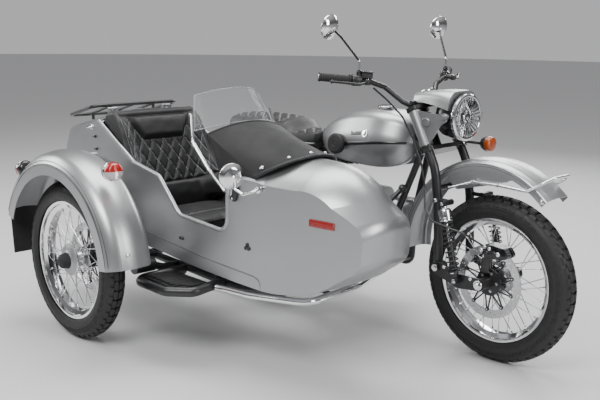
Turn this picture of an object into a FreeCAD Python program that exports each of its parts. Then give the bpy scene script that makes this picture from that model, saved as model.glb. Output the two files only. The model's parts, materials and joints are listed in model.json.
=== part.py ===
import FreeCAD, Part
import math
import os

# Sidecar motorcycle: a boxer twin with a leading-link fork and a passenger sidecar on its right.
# Millimetres. X points forward, Y to the rider's left, Z up. While the parts are drawn, x = 0 is the
# sidecar's axle, y = 0 the motorcycle's middle plane and z = 0 the ground. At the end everything is
# moved so that the origin is under the middle of the whole machine.
V = FreeCAD.Vector

# ---------------------------------------------------------------- driving dimensions
SEAT_GAP = 0.3              # gap left between pieces that seat on each other
RUNNING_GAP = 0.05          # radial gap of a shaft in its hole

TYRE_R = 345.0
TYRE_HALF = 54.0
RIM_R = 257.0               # outer radius of the rim's flanges
RIM_HALF = 38.0
WHEELBASE = 1480.0
AXLE_LEAD = 95.0            # how far the sidecar's axle is ahead of the rear one
TRACK = 1135.0
REAR_X = -AXLE_LEAD
FRONT_X = WHEELBASE - AXLE_LEAD
SIDE_Y = -TRACK
AXLE_Z = TYRE_R

SPOKES = 40
SPOKE_R = 2.0
HUB_FLANGE_R = 62.0
HUB_FLANGE_Y = 27.0
HUB_R = 34.0
AXLE_R = 9.0
DISC_R = 150.0
DISC_Y = 66.0               # distance of the brake disc from the wheel's middle plane
DISC_THICK = 5.0
HUB_END = DISC_Y + 3.0      # end of the disc's carrier

# steering: a point on the axis and the axis itself
STEER_AT = (1012.0, 0.0, 900.0)
STEER_AXIS = (-0.465, 0.0, 0.885)
STEM_R = 15.0
HEAD_TUBE_R = 26.0
HEAD_LOW = -62.0            # ends of the head tube along the axis, from STEER_AT
HEAD_HIGH = 92.0

FORK_Y = 110.0              # fork legs from the middle plane
FORK_R = 19.0
SHROUD_R = 27.0
LINK_PIVOT = (1175.0, 375.0)
SHOCK_Y = 158.0
SHOCK_TOP = (1211.0, 652.0)
SHOCK_LOW = (1288.0, 346.0)
LINK_Y = 132.0              # inner face of the link plates
LINK_THICK = 8.0

WING_CENTRE = (1347.0, 421.0)   # front wing: centre of its arc in x and z
WING_R = 419.0
WING_HALF = 78.0
WING_START = 46.0               # its ends, in degrees above the forward direction
WING_END = 184.0
SHEET = 3.0                     # thickness of pressed wings

LAMP_Z = 987.0
LAMP_R = 92.0
LAMP_X = 1192.0

# sidecar body
BODY_WALL = 8.0
BODY_HIGH = -390.0              # left panel, clear of the engine
BODY_LOW = SIDE_Y + 255.0       # right panel, clear of the wheel's arm and shock
BODY_MID_Y = (BODY_LOW + BODY_HIGH) / 2
BODY_HALF = (BODY_HIGH - BODY_LOW) / 2
SIDE_WING_Y = (SIDE_Y - 110.0, SIDE_Y + 95.0)
SIDE_WING_R = 475.0
LID_GAP = 5.0


# ---------------------------------------------------------------- shape helpers
def box(x0, x1, y0, y1, z0, z1):
    return Part.makeBox(x1 - x0, y1 - y0, z1 - z0, V(x0, y0, z0))


def rod(a, b, radius, end_radius=None):
    """Round bar from a to b, or a cone when a second radius is given."""
    a, b = V(*a), V(*b)
    if end_radius is None:
        return Part.makeCylinder(radius, (b - a).Length, a, b - a)
    return Part.makeCone(radius, end_radius, (b - a).Length, a, b - a)


def ball(centre, radius):
    return Part.makeSphere(radius, V(*centre))


def fuse(shapes):
    """One shape from many, with leftover seams removed where that leaves it sound."""
    shapes = list(shapes)
    if len(shapes) == 1:
        return shapes[0]
    joined = shapes[0].multiFuse(shapes[1:])
    tidy = joined.removeSplitter()
    return tidy if tidy.isValid() else joined


def corner(before, at, after, radius):
    """Start, middle and end of the arc that rounds a corner."""
    u = (before - at).normalize()
    w = (after - at).normalize()
    half = u.getAngle(w) / 2
    reach = radius / math.tan(half)
    centre = at + (u + w).normalize() * (radius / math.sin(half))
    return at + u * reach, centre - (u + w).normalize() * radius, at + w * reach


def rounded(points, closed=True):
    """Wire through 3-D points, given as (vector, corner radius)."""
    n = len(points)
    marks = []
    for i, (at, radius) in enumerate(points):
        if radius <= 0 or (not closed and i in (0, n - 1)):
            marks.append((at, None, at))
        else:
            marks.append(corner(points[i - 1][0], at, points[(i + 1) % n][0], radius))
    edges = []
    for i, (start, middle, end) in enumerate(marks):
        if middle is not None:
            edges.append(Part.Arc(start, middle, end).toShape())
        if i < n - 1 or closed:
            following = marks[(i + 1) % n][0]
            if (following - end).Length > 1e-4:
                edges.append(Part.LineSegment(end, following).toShape())
    return Part.Wire(edges)


def side_wire(points, y):
    """Closed outline in a plane of constant y, from (x, z, corner radius)."""
    return rounded([(V(x, y, z), r) for x, z, r in points])


def plate(points, y0, y1):
    """Slab between y0 and y1 with an outline of (x, z, corner radius)."""
    return Part.Face(side_wire(points, y0)).extrude(V(0, y1 - y0, 0))


def plan(points, z0, z1):
    """Slab between z0 and z1 with an outline of (x, y, corner radius)."""
    wire = rounded([(V(x, y, z0), r) for x, y, r in points])
    return Part.Face(wire).extrude(V(0, 0, z1 - z0))


def cross(points, x0, x1):
    """Slab between x0 and x1 with an outline of (y, z, corner radius)."""
    wire = rounded([(V(x0, y, z), r) for y, z, r in points])
    return Part.Face(wire).extrude(V(x1 - x0, 0, 0))


def pipe(points, radius, bend):
    """Round bar along straight runs joined by bends of one radius."""
    marks = [V(*p) for p in points]
    path = rounded([(p, bend) for p in marks], closed=False)
    ring = Part.Wire(Part.makeCircle(radius, marks[0], marks[1] - marks[0]))
    return path.makePipeShell([ring], True, True)


def turned(points, centre, along, start=0.0, sweep=360.0):
    """Solid turned about an axis: points are (distance along it, radius, corner radius).

    The section starts in the plane that holds the axis and the reference direction, which is +Z
    for an axis in x or y, and +X for one in z.
    """
    centre = V(*centre)
    along = V(*along).normalize()
    out = V(0, 0, 1) if abs(along.z) < 0.9 else V(1, 0, 0)
    out = (out - along * out.dot(along)).normalize()
    wire = rounded([(centre + along * a + out * r, f) for a, r, f in points])
    face = Part.Face(wire)
    if start:
        face.rotate(centre, along, start)
    return face.revolve(centre, along, sweep)


def inset(points, wall):
    """A closed convex-or-not outline moved inward by a wall, as (a, b, corner radius)."""
    area = sum(points[i - 1][0] * p[1] - p[0] * points[i - 1][1] for i, p in enumerate(points))
    turn = 1.0 if area > 0 else -1.0
    moved = []
    n = len(points)
    for i, (a, b, r) in enumerate(points):
        before, after = points[i - 1], points[(i + 1) % n]
        d1 = (a - before[0], b - before[1])
        d2 = (after[0] - a, after[1] - b)
        l1, l2 = math.hypot(*d1), math.hypot(*d2)
        n1 = (-d1[1] / l1 * turn, d1[0] / l1 * turn)
        n2 = (-d2[1] / l2 * turn, d2[0] / l2 * turn)
        k = wall / (1 + n1[0] * n2[0] + n1[1] * n2[1])
        bulge = d1[0] * d2[1] - d1[1] * d2[0]
        radius = r - wall if bulge * turn > 0 else r + wall
        moved.append((a + (n1[0] + n2[0]) * k, b + (n1[1] + n2[1]) * k, max(radius, 0.0)))
    return moved


def mirrored(shape):
    """Copy of a shape on the other side of the motorcycle's middle plane."""
    return shape.mirror(V(0, 0, 0), V(0, 1, 0))


def both(shape):
    return [shape, mirrored(shape)]


def strip(path, thickness):
    """Closed outline of a bent sheet: path is its outer line as (a, b, corner radius)."""
    inner = []
    n = len(path)
    for i, (a, b, r) in enumerate(path):
        before = path[i - 1] if i else None
        after = path[i + 1] if i < n - 1 else None
        normals = []
        for p, q in ((before, (a, b)), ((a, b), after)):
            if p is not None and q is not None:
                dx, dy = q[0] - p[0], q[1] - p[1]
                length = math.hypot(dx, dy)
                normals.append((dy / length, -dx / length))
        if len(normals) == 1:
            inner.append((a + normals[0][0] * thickness, b + normals[0][1] * thickness, 0))
            continue
        n1, n2 = normals
        k = thickness / (1 + n1[0] * n2[0] + n1[1] * n2[1])
        d1 = (a - before[0], b - before[1])
        d2 = (after[0] - a, after[1] - b)
        toward = d1[0] * d2[1] - d1[1] * d2[0]
        radius = r - thickness if toward < 0 else r + thickness
        inner.append((a + (n1[0] + n2[0]) * k, b + (n1[1] + n2[1]) * k, max(radius, 0)))
    return list(path) + inner[::-1]


def steer_point(distance, forward=0.0, side=0.0):
    """Point at a distance up the steering axis, moved ahead of it and to the left."""
    axis = V(*STEER_AXIS).normalize()
    ahead = V(axis.z, 0, -axis.x)
    at = V(*STEER_AT) + axis * distance + ahead * forward + V(0, side, 0)
    return (at.x, at.y, at.z)


def wing_point(degrees, radius, y=0.0):
    """Point of the front wing at an angle above the forward direction."""
    a = math.radians(degrees)
    return (WING_CENTRE[0] + radius * math.cos(a), y, WING_CENTRE[1] + radius * math.sin(a))


# ---------------------------------------------------------------- wheels
def tyre(x, y):
    """Solid tyre that sits on the rim's flanges."""
    seat = RIM_R + SEAT_GAP
    side = [(TYRE_HALF, seat, 0), (TYRE_HALF, TYRE_R - 27.0, 0), (TYRE_HALF - 22.0, TYRE_R, 0)]
    profile = [(-a, r, f) for a, r, f in side] + side[::-1]
    return turned(profile, (x, y, AXLE_Z), (0, 1, 0))


def rim(x, y):
    bed = RIM_R - 11.0 - SEAT_GAP
    outer = [
        (-RIM_HALF, RIM_R, 0), (-RIM_HALF + 4, RIM_R, 0), (-RIM_HALF + 4, bed, 0),
        (-22, bed, 0), (-13, bed - 17, 0), (13, bed - 17, 0), (22, bed, 0),
        (RIM_HALF - 4, bed, 0), (RIM_HALF - 4, RIM_R, 0), (RIM_HALF, RIM_R, 0),
        (RIM_HALF, bed - 4, 0), (24, bed - 4, 0), (14, bed - 21, 0),
        (-14, bed - 21, 0), (-24, bed - 4, 0), (-RIM_HALF, bed - 4, 0),
    ]
    return turned(outer, (x, y, AXLE_Z), (0, 1, 0))


def hub(x, y, disc_side, axle_right, axle_left):
    """Hub with its spoke flanges, bearing bosses, brake disc, and its own axle."""
    f, w = HUB_FLANGE_Y, 4.0
    profile = [
        (-46, AXLE_R, 0), (-46, 26, 0), (-f - w, 30, 0), (-f - w, HUB_FLANGE_R, 0),
        (-f, HUB_FLANGE_R, 0), (-f + 10, HUB_R, 0), (f - 10, HUB_R, 0),
        (f, HUB_FLANGE_R, 0), (f + w, HUB_FLANGE_R, 0), (f + w, 30, 0), (46, 26, 0), (46, AXLE_R, 0),
    ]
    at = (x, y, AXLE_Z)
    body = turned(profile, at, (0, 1, 0))
    axle = rod((x, y + axle_right, AXLE_Z), (x, y + axle_left, AXLE_Z), AXLE_R)
    s = disc_side
    inner, outer = DISC_R - 34.0, DISC_R
    ring = turned([(s * (DISC_Y - DISC_THICK / 2), inner, 0), (s * (DISC_Y - DISC_THICK / 2), outer, 0),
                   (s * (DISC_Y + DISC_THICK / 2), outer, 0), (s * (DISC_Y + DISC_THICK / 2), inner, 0)],
                  at, (0, 1, 0))
    carrier = [rod((x, y + s * 40, AXLE_Z), (x, y + s * HUB_END, AXLE_Z), 46.0)]
    for i in range(6):
        arm = box(-9, 9, min(s * (DISC_Y - 3), s * (DISC_Y + 3)), max(s * (DISC_Y - 3), s * (DISC_Y + 3)),
                  30, inner + 6)
        arm.rotate(V(0, 0, 0), V(0, 1, 0), 60.0 * i)
        arm.translate(V(x, y, AXLE_Z))
        carrier.append(arm)
    return fuse([body, axle, ring] + carrier)


def spoke(i, x, y):
    """Spoke i of the laced set: every other one leaves the other flange, in crossing pairs."""
    side = 1 if i % 2 else -1
    lean = 1 if (i // 2) % 2 else -1
    rim_angle = math.radians(360.0 / SPOKES * (i + 0.5))
    hub_angle = rim_angle + math.radians(48.0 * lean)
    start_y = side * (HUB_FLANGE_Y + 2.0 + 3.0 * lean)
    start_r, end_r = HUB_FLANGE_R - 6.0, RIM_R - 30.0
    a = (x + start_r * math.cos(hub_angle), y + start_y, AXLE_Z + start_r * math.sin(hub_angle))
    b = (x + end_r * math.cos(rim_angle), y + side * 7.0, AXLE_Z + end_r * math.sin(rim_angle))
    return rod(a, b, SPOKE_R)


def laced_wheel(x, y, disc_side, axle_right, axle_left):
    pieces = [rim(x, y), hub(x, y, disc_side, axle_right, axle_left)]
    pieces += [spoke(i, x, y) for i in range(SPOKES)]
    return pieces[0].multiFuse(pieces[1:])


# ---------------------------------------------------------------- motorcycle: frame and running gear
CRADLE_Y = 95.0             # half width of the cradle's bottom rails
CRADLE_Z = 285.0
TUBE_R = 15.0
PIVOT = (292.0, 375.0)      # swing arm pivot in x and z
PIVOT_HALF = 114.0          # half length of the pivot tube
ARM_Y = 130.0               # swing arm legs from the middle plane
UPRIGHT_Y = 100.0
SEAT_RAIL_Z = 760.0
SEAT_RAIL_R = 12.0
REAR_SHOCK_Y = 152.0
REAR_SHOCK_LOW = (-75.0, 395.0)
REAR_SHOCK_TOP = (-10.0, 700.0)
REAR_WING_R = 366.0
REAR_WING_Z = AXLE_Z + 15.0

ENGINE_X = (545.0, 800.0)
ENGINE_Z = (304.0, 560.0)
ENGINE_HALF = 128.0
CYLINDER_X = 672.0
CYLINDER_Z = 455.0
HEAD_HALF = 84.0            # half size of the head's fins
CYLINDER_OUT = 352.0        # outer face of the rocker covers
FINS = 9
GEARBOX_X = 330.0           # rear face of the gearbox
SHAFT_AT = (-67.0, 425.0)   # where the drive shaft leaves it, in y and z
SHAFT_R = 12.0
EXHAUST_Y = 205.0
EXHAUST_Z = 248.0


def head_tube():
    low, high = steer_point(HEAD_LOW), steer_point(HEAD_HIGH)
    return rod(low, high, HEAD_TUBE_R)


DOWN_TOP = steer_point(-5, -8, 14)
DOWN_MID = (895.0, 62.0, 560.0)
UPRIGHT_TOP = (170.0, UPRIGHT_Y, SEAT_RAIL_Z - 8)
EYE_HALF = 12.0             # half width of a shock's eye


def frame():
    """Double cradle of round tube with the steering head, shock towers and seat rails."""
    top = SEAT_RAIL_Z
    shock_x, shock_z = REAR_SHOCK_TOP
    side = [
        # front down tube, bottom rail and rear upright in one bend
        pipe([DOWN_TOP, DOWN_MID, (852, CRADLE_Y, CRADLE_Z), (PIVOT[0] + 40, CRADLE_Y, CRADLE_Z),
              (PIVOT[0] - 20, UPRIGHT_Y, PIVOT[1] + 70), UPRIGHT_TOP], TUBE_R, 48),
        # seat rail from the backbone to the rear
        pipe([(560, 30, top - 38), (420, 80, top - 22), (150, UPRIGHT_Y, top - 8), (-120, UPRIGHT_Y, top)],
             SEAT_RAIL_R, 60),
        # shock tower with the pin for the shock's eye
        rod((70, UPRIGHT_Y, top - 4), (shock_x, UPRIGHT_Y + 12, shock_z + 4), 11),
        rod((shock_x, UPRIGHT_Y, top), (shock_x, UPRIGHT_Y + 12, shock_z), 11),
        rod((shock_x, UPRIGHT_Y + 4, shock_z), (shock_x, REAR_SHOCK_Y - EYE_HALF - SEAT_GAP, shock_z), 10),
        # footpeg
        rod((500, CRADLE_Y, CRADLE_Z + 4), (500, 250, CRADLE_Z + 12), 9),
        rod((500, 158, CRADLE_Z + 7), (500, 262, CRADLE_Z + 12), 14),
    ]
    pieces = both_all(side)
    pieces += [
        pipe([steer_point(20, -8), (800, 0, 850), (560, 0, 732), (300, 0, 738)], 20, 120),
        rod((300, -94, top - 16), (300, 94, top - 16), SEAT_RAIL_R),
        rod((-105, -UPRIGHT_Y, top), (-105, UPRIGHT_Y, top), 10),
        rod((PIVOT[0], -PIVOT_HALF, PIVOT[1]), (PIVOT[0], PIVOT_HALF, PIVOT[1]), 22),
        rod((852, -CRADLE_Y, CRADLE_Z + 30), (852, CRADLE_Y, CRADLE_Z + 30), 13),
        rod((450, -CRADLE_Y, CRADLE_Z), (450, CRADLE_Y, CRADLE_Z), 11),
        head_tube(),
    ]
    solid = fuse(pieces)
    return solid.cut(rod(steer_point(HEAD_LOW - 5), steer_point(HEAD_HIGH + 5), STEM_R + RUNNING_GAP))


def both_all(shapes):
    return [copy for shape in shapes for copy in both(shape)]


def engine_case():
    """Crankcase, gearbox, sump and generator in one casting-like block."""
    x0, x1 = ENGINE_X
    z0, z1 = ENGINE_Z
    case = plate([(x0, z0, 20), (x1, z0, 45), (x1, z1, 60), (x0, z1, 20)], -ENGINE_HALF + 34, ENGINE_HALF - 34)
    belly = cross([(-76, z0 - 28, 10), (76, z0 - 28, 10), (76, z0 + 10, 0), (-76, z0 + 10, 0)], x0 + 20, x1 - 40)
    nose = turned([(x1 - 10, 0, 0), (x1 - 10, 92, 0), (x1 + 22, 84, 10), (x1 + 30, 0, 0)],
                  (0, 0, CYLINDER_Z - 15), (1, 0, 0))
    generator = turned([(x0 + 40, 0, 0), (x0 + 40, 52, 6), (x1 - 20, 52, 6), (x1 - 20, 0, 0)],
                       (0, 0, z1 + 30), (1, 0, 0))
    saddle = box(x0 + 55, x1 - 45, -38, 38, z1 - 12, z1 + 30)
    box_back = plate([(GEARBOX_X, 335, 30), (x0 + 4, 320, 0), (x0 + 4, 520, 0), (400, 520, 50),
                      (GEARBOX_X, 475, 30)], -88, 88)
    necks = [rod((CYLINDER_X, s * 60, CYLINDER_Z), (CYLINDER_X, s * (ENGINE_HALF - 2), CYLINDER_Z), 66) for s in (-1, 1)]
    return fuse([case, belly, nose, generator, saddle, box_back] + necks)


def cylinder_unit():
    """Left cylinder: finned barrel, finned head and ribbed rocker cover."""
    start = ENGINE_HALF - 2 + SEAT_GAP
    barrel_end, head_end = 232.0, 306.0
    pieces = [rod((CYLINDER_X, start, CYLINDER_Z), (CYLINDER_X, barrel_end, CYLINDER_Z), 50),
              plate(square_at(62, 30), barrel_end - 4, head_end)]
    pitch = (barrel_end - start - 8) / FINS
    for i in range(FINS):
        y = start + 6 + i * pitch
        pieces.append(plate(square_at(74, 34), y, y + 3))
    for i in range(5):
        y = barrel_end + 4 + i * 13.5
        pieces.append(plate(square_at(HEAD_HALF, 30), y, y + 4))
    cover = plate(square_at(66, 34), head_end - 2, CYLINDER_OUT - 12)
    lid = plate(square_at(54, 26), CYLINDER_OUT - 14, CYLINDER_OUT)
    return fuse(pieces + [cover, lid])


def square_at(half, radius):
    """Square outline with rounded corners about the cylinder's axis."""
    x, z = CYLINDER_X, CYLINDER_Z
    return [(x - half, z - half, radius), (x + half, z - half, radius),
            (x + half, z + half, radius), (x - half, z + half, radius)]


def cylinders():
    return both(cylinder_unit())


def intakes():
    """Throttle bodies behind the heads, joined to the air box over the gearbox."""
    port = (CYLINDER_X - HEAD_HALF - SEAT_GAP, 268.0, CYLINDER_Z + 22)
    side = [
        rod(port, (port[0] - 62, port[1], port[2]), 24),
        rod((port[0] - 14, port[1], port[2]), (port[0] - 50, port[1], port[2]), 33),
        pipe([(port[0] - 60, port[1], port[2]), (port[0] - 110, port[1], port[2] + 8),
              (port[0] - 150, 150, port[2] + 88), (port[0] - 160, 60, port[2] + 100)], 20, 30),
    ]
    filter_box = plate([(360, 546, 18), (470, 546, 18), (470, 650, 26), (360, 650, 26)], -72, 72)
    return [fuse(both_all(side) + [filter_box])]


def exhausts():
    """Header pipe and silencer on each side, with clamps."""
    y, z = EXHAUST_Y, EXHAUST_Z
    port_z = CYLINDER_Z - HEAD_HALF - SEAT_GAP
    pipe_side = pipe([(CYLINDER_X + 40, 268, port_z), (CYLINDER_X + 40, 268, port_z - 52),
                      (CYLINDER_X - 10, 244, z - 2), (CYLINDER_X - 150, y, z - 6), (250, y, z)], 20, 45)
    can = turned([(-340, 0, 0), (-340, 30, 0), (-320, 42, 12), (220, 42, 14), (275, 24, 0), (275, 0, 0)],
                 (0, y, z), (1, 0, 0))
    collar = rod((CYLINDER_X + 40, 268, port_z), (CYLINDER_X + 40, 268, port_z - 24), 28)
    bracket = box(420, 442, CRADLE_Y + TUBE_R + SEAT_GAP, y, z + 6, z + 14).fuse(
        box(420, 442, CRADLE_Y + TUBE_R + SEAT_GAP, CRADLE_Y + TUBE_R + 6, z + 6, CRADLE_Z + 6))
    bore = rod((-345, y, z), (-250, y, z), 22)
    one = fuse([pipe_side, can, collar, bracket]).cut(bore)
    return both(one)


def final_drive():
    """Bevel drive housing on the right of the rear wheel, with the shaft to the gearbox."""
    y = -88.0
    bore = AXLE_R + RUNNING_GAP
    case = turned([(-46, bore, 0), (-46, 62, 6), (-24, 88, 10), (2, 88, 10), (13, 60, 6), (13, bore, 0)],
                  (REAR_X, y + 26, AXLE_Z), (0, 1, 0))
    neck = rod((REAR_X + 40, y + 8, AXLE_Z + 6), (REAR_X + 125, y + 6, AXLE_Z + 24), 32, 22)
    shaft = rod((REAR_X + 110, y + 6, AXLE_Z + 20), (GEARBOX_X - SEAT_GAP - 3, *SHAFT_AT), SHAFT_R)
    return [fuse([case, neck, shaft])]


def swingarm():
    """Two-legged rear arm with its axle lugs and shock eyes."""
    eye_y = REAR_SHOCK_Y - EYE_HALF - SEAT_GAP
    eye_x, eye_z = REAR_SHOCK_LOW
    leg = [
        pipe([(PIVOT[0], ARM_Y, PIVOT[1]), (PIVOT[0] - 120, ARM_Y, PIVOT[1] - 10), (REAR_X - 12, ARM_Y, AXLE_Z)], 15, 60),
        rod((PIVOT[0], PIVOT_HALF + SEAT_GAP, PIVOT[1]), (PIVOT[0], ARM_Y + 16, PIVOT[1]), 24),
        rod((REAR_X, ARM_Y - 18, AXLE_Z), (REAR_X, ARM_Y + 16, AXLE_Z), 24),
        rod((eye_x, ARM_Y - 4, eye_z - 34), (eye_x, ARM_Y - 6, eye_z), 12),
        rod((eye_x, ARM_Y - 12, eye_z), (eye_x, eye_y, eye_z), 12),
    ]
    bore = rod((REAR_X, 0, AXLE_Z), (REAR_X, 250, AXLE_Z), AXLE_R + RUNNING_GAP)
    return both(fuse(leg).cut(bore))


def spring_damper(low, top, coil_r, wire, turns, sleeve):
    """Damper with its coil spring as a stack of turns, and an eye at both ends.

    coil_r is the spring's outer radius, wire its thickness, sleeve the share of the length that the
    upper cover hides. The whole stack is turned in one piece.
    """
    a, b = V(*low), V(*top)
    length = (b - a).Length
    core = coil_r - 2 * wire
    first, last = 50.0, length * (1 - sleeve) - wire
    profile = [(4, 0, 0), (14, 9, 0), (14, 16, 0), (36, 16, 0), (36, coil_r + 2, 0), (42, coil_r + 2, 0), (42, core, 0)]
    for i in range(turns):
        t = first + (last - first) * i / (turns - 1)
        profile += [(t - wire, core, 0), (t - wire / 2, coil_r, 0), (t + wire / 2, coil_r, 0), (t + wire, core, 0)]
    cover = length * (1 - sleeve)
    profile += [(cover, core, 0), (cover, coil_r + 2, 0), (length - 22, coil_r + 2, 0),
                (length - 20, 11.5, 0), (length - 6, 11.5, 0), (length - 4, 0, 0)]
    eyes = [rod((p[0], p[1] - EYE_HALF, p[2]), (p[0], p[1] + EYE_HALF, p[2]), 13) for p in (low, top)]
    return fuse([turned(profile, low, tuple(b - a))] + eyes)


def rear_shocks():
    low = (REAR_SHOCK_LOW[0], REAR_SHOCK_Y, REAR_SHOCK_LOW[1])
    top = (REAR_SHOCK_TOP[0], REAR_SHOCK_Y, REAR_SHOCK_TOP[1])
    return both(spring_damper(low, top, 27, 4, 10, 0.28))


def rear_fender():
    """Rear wing: a pressed channel round the wheel."""
    half, r = 82.0, REAR_WING_R
    path = [(-half, r - 62, 0), (-half, r - 14, 20), (-half + 26, r + 16, 40),
            (0, r + 24, 90), (half - 26, r + 16, 40), (half, r - 14, 20), (half, r - 62, 0)]
    outline = strip(path, SHEET)
    solid = turned(outline, (REAR_X, 0, REAR_WING_Z), (0, 1, 0), -98, 150)
    return [solid]


def tail_lamp():
    """Round red lamp on a bracket at the rear wing."""
    a = math.radians(156)
    nx, nz = math.cos(a), math.sin(a)
    r = REAR_WING_R + 24
    foot = (REAR_X + nx * (r + SEAT_GAP), 0, REAR_WING_Z + nz * (r + SEAT_GAP))
    end = (REAR_X + nx * (r + 30), 0, REAR_WING_Z + nz * (r + 30))
    lamp = turned([(-40, 0, 0), (-40, 38, 8), (0, 42, 0), (0, 0, 0)], (end[0] + 8, 0, end[2]), (1, 0, 0))
    return [fuse([rod(foot, end, 16), lamp])]


def saddle():
    """Rider's seat with the raised pillion seat behind it."""
    low = SEAT_RAIL_Z + SEAT_RAIL_R + SEAT_GAP
    profile = [(-235, 835, 20), (-225, 895, 30), (-60, 905, 120), (190, 895, 40), (232, 850, 60),
               (330, 855, 120), (400, 862, 18), (404, 800, 20), (340, low, 30), (-60, low, 60)]
    block = plate(profile, -150, 150)
    outline = plan([(-240, -115, 60), (-240, 115, 60), (60, 138, 90), (250, 145, 90), (450, 92, 40),
                    (450, -92, 40), (250, -145, 90), (60, -138, 90)], 700, 1000)
    block = block.common(outline)
    return [block]


def tank_section(x, half, low, high, round_low, round_high):
    """Cross section of the tank at x."""
    pts = [(-half, low + (high - low) * 0.42, half * 0.9), (-half * 0.62, low, round_low),
           (half * 0.62, low, round_low), (half, low + (high - low) * 0.42, half * 0.9),
           (half * 0.66, high, round_high), (-half * 0.66, high, round_high)]
    wire = rounded([(V(x, y, z), r) for y, z, r in pts])
    return wire


TANK_SECTIONS = [
    # x, half width, low z, high z, low corner radius, high corner radius
    (412, 62, 792, 868, 12, 22),
    (470, 104, 758, 905, 16, 34),
    (590, 140, 742, 958, 18, 50),
    (730, 152, 738, 984, 18, 58),
    (860, 138, 748, 975, 18, 52),
    (925, 92, 775, 945, 14, 36),
    (952, 48, 812, 915, 8, 18),
]


def fuel_tank():
    """Teardrop tank lofted along the backbone, cut out below for the frame tube."""
    wires = [tank_section(*row) for row in TANK_SECTIONS]
    solid = Part.makeLoft(wires, True, False)
    tunnel = box(300, 1000, -34, 34, 640, 800).fuse(
        pipe([(1010, 0, 905), (800, 0, 862), (560, 0, 756), (300, 0, 740)], 34, 100))
    neck = rod((CAP_X, 0, 960), (CAP_X, 0, CAP_Z), 31)
    return [fuse([solid.cut(tunnel), neck])]


CAP_X = 752.0
CAP_Z = 989.0


def fuel_cap():
    return [turned([(0, 0, 0), (0, 37, 0), (10, 37, 3), (14, 27, 3), (14, 0, 0)],
                   (CAP_X, 0, CAP_Z + SEAT_GAP), (0, 0, 1))]


KNEE_X = 585.0
KNEE_Z = 826.0


def knee_pads():
    """Round rubber pads on the tank's flanks."""
    pad = turned([(0, 0, 0), (0, 36, 0), (10, 36, 3), (12, 26, 0), (14, 22, 0), (14, 0, 0)],
                 (KNEE_X, 139, KNEE_Z), (0.02, 1, 0.06))
    return both(pad)


# ---------------------------------------------------------------- fork and what turns with it
def yoke(distance, forward, thick, half):
    """Flat triple clamp across the fork legs at a distance up the steering axis."""
    axis = V(*STEER_AXIS).normalize()
    face = []
    for f, s, r in ((forward + 30, -half + 16, 22), (forward + 34, 0, 40), (forward + 30, half - 16, 22),
                    (forward - 26, half, 20), (-17, 24, 12), (-20, 0, 8), (-17, -24, 12),
                    (forward - 26, -half, 20)):
        face.append((V(*steer_point(distance, f, s)), r))
    return Part.Face(rounded(face)).extrude(axis * thick)


FORK_FORWARD = 42.0         # fork legs ahead of the steering axis


def fork_leg_top(distance):
    return steer_point(distance, FORK_FORWARD, FORK_Y)


def fork_tubes():
    """Leading-link fork: two bent legs, two clamps and the stem in the head tube."""
    y = FORK_Y
    leg = pipe([fork_leg_top(116), fork_leg_top(-160), (1146, y, 640), (1164, y, 352)], FORK_R, 170)
    pivot = rod((LINK_PIVOT[0], y - 22, LINK_PIVOT[1]), (LINK_PIVOT[0], LINK_Y - SEAT_GAP, LINK_PIVOT[1]), 20)
    top_lug = rod((1146, y, SHOCK_TOP[1]), (SHOCK_TOP[0], y + 4, SHOCK_TOP[1]), 9)
    eye = rod((SHOCK_TOP[0], y - 6, SHOCK_TOP[1]), (SHOCK_TOP[0], SHOCK_Y - EYE_HALF - SEAT_GAP, SHOCK_TOP[1]), 12)
    parts = both_all([leg, pivot, top_lug, eye])
    low, high = HEAD_LOW - 6, HEAD_HIGH + 6
    parts += [yoke(high, FORK_FORWARD, 16, 140), yoke(low - 18, FORK_FORWARD, 18, 140),
              rod(steer_point(low - 18), steer_point(high + 16), STEM_R)]
    # loop joining the legs over the wheel, and the two plates that carry the wing
    parts.append(rod((1141, -y, 700), (1141, y, 700), 11))
    return [fuse(parts)]


def fork_shrouds():
    """Pressed covers round the upper legs, each with its headlamp ear."""
    y = FORK_Y
    low, high = fork_leg_top(HEAD_LOW + 4), fork_leg_top(HEAD_HIGH + 2)
    cover = rod(low, high, SHROUD_R)
    x0, z0 = high[0], high[2]
    ear = plate([(x0 - 10, z0 - 8, 6), (x0 + 26, z0 + 6, 20), (1130, 1002, 60), (1172, 1010, 14),
                 (1180, 976, 14), (1148, 958, 40), (1116, 905, 60), (1092, 872, 20), (1068, 868, 10)],
                y + 6, y + 13)
    boss = rod((1076, y + 10, 965), (1076, y + 17, 965), 18)
    bolt = rod((1162, LAMP_R + 4, 993), (1162, y + 22, 993), 11)
    one = fuse([cover, ear, boss, bolt]).cut(rod(fork_leg_top(-120), fork_leg_top(160), FORK_R + SEAT_GAP))
    return both(one)


def leading_links():
    """Link plates from the fork's feet to the axle, with the shock eyes and caliper bracket."""
    y = LINK_Y
    px, pz = LINK_PIVOT
    plate_outline = [(px - 26, pz + 18, 14), (px + 30, pz + 24, 20), (SHOCK_LOW[0] - 20, AXLE_Z + 24, 30),
                     (FRONT_X + 20, AXLE_Z + 26, 22), (FRONT_X + 30, AXLE_Z - 22, 22),
                     (SHOCK_LOW[0], AXLE_Z - 34, 40), (px - 20, pz - 26, 20)]
    arm = plate(plate_outline, y, y + LINK_THICK)
    boss = rod((FRONT_X, HUB_END + 1, AXLE_Z), (FRONT_X, y + 12, AXLE_Z), 22)
    pin = rod((px, y, pz), (px, y + 20, pz), 15)
    eye = rod((SHOCK_LOW[0], y + 2, SHOCK_LOW[1]), (SHOCK_LOW[0], SHOCK_Y - EYE_HALF - SEAT_GAP, SHOCK_LOW[1]), 12)
    one = fuse([arm, boss, pin, eye]).cut(rod((FRONT_X, 0, AXLE_Z), (FRONT_X, 400, AXLE_Z), AXLE_R + RUNNING_GAP))
    return both(one)


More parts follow.
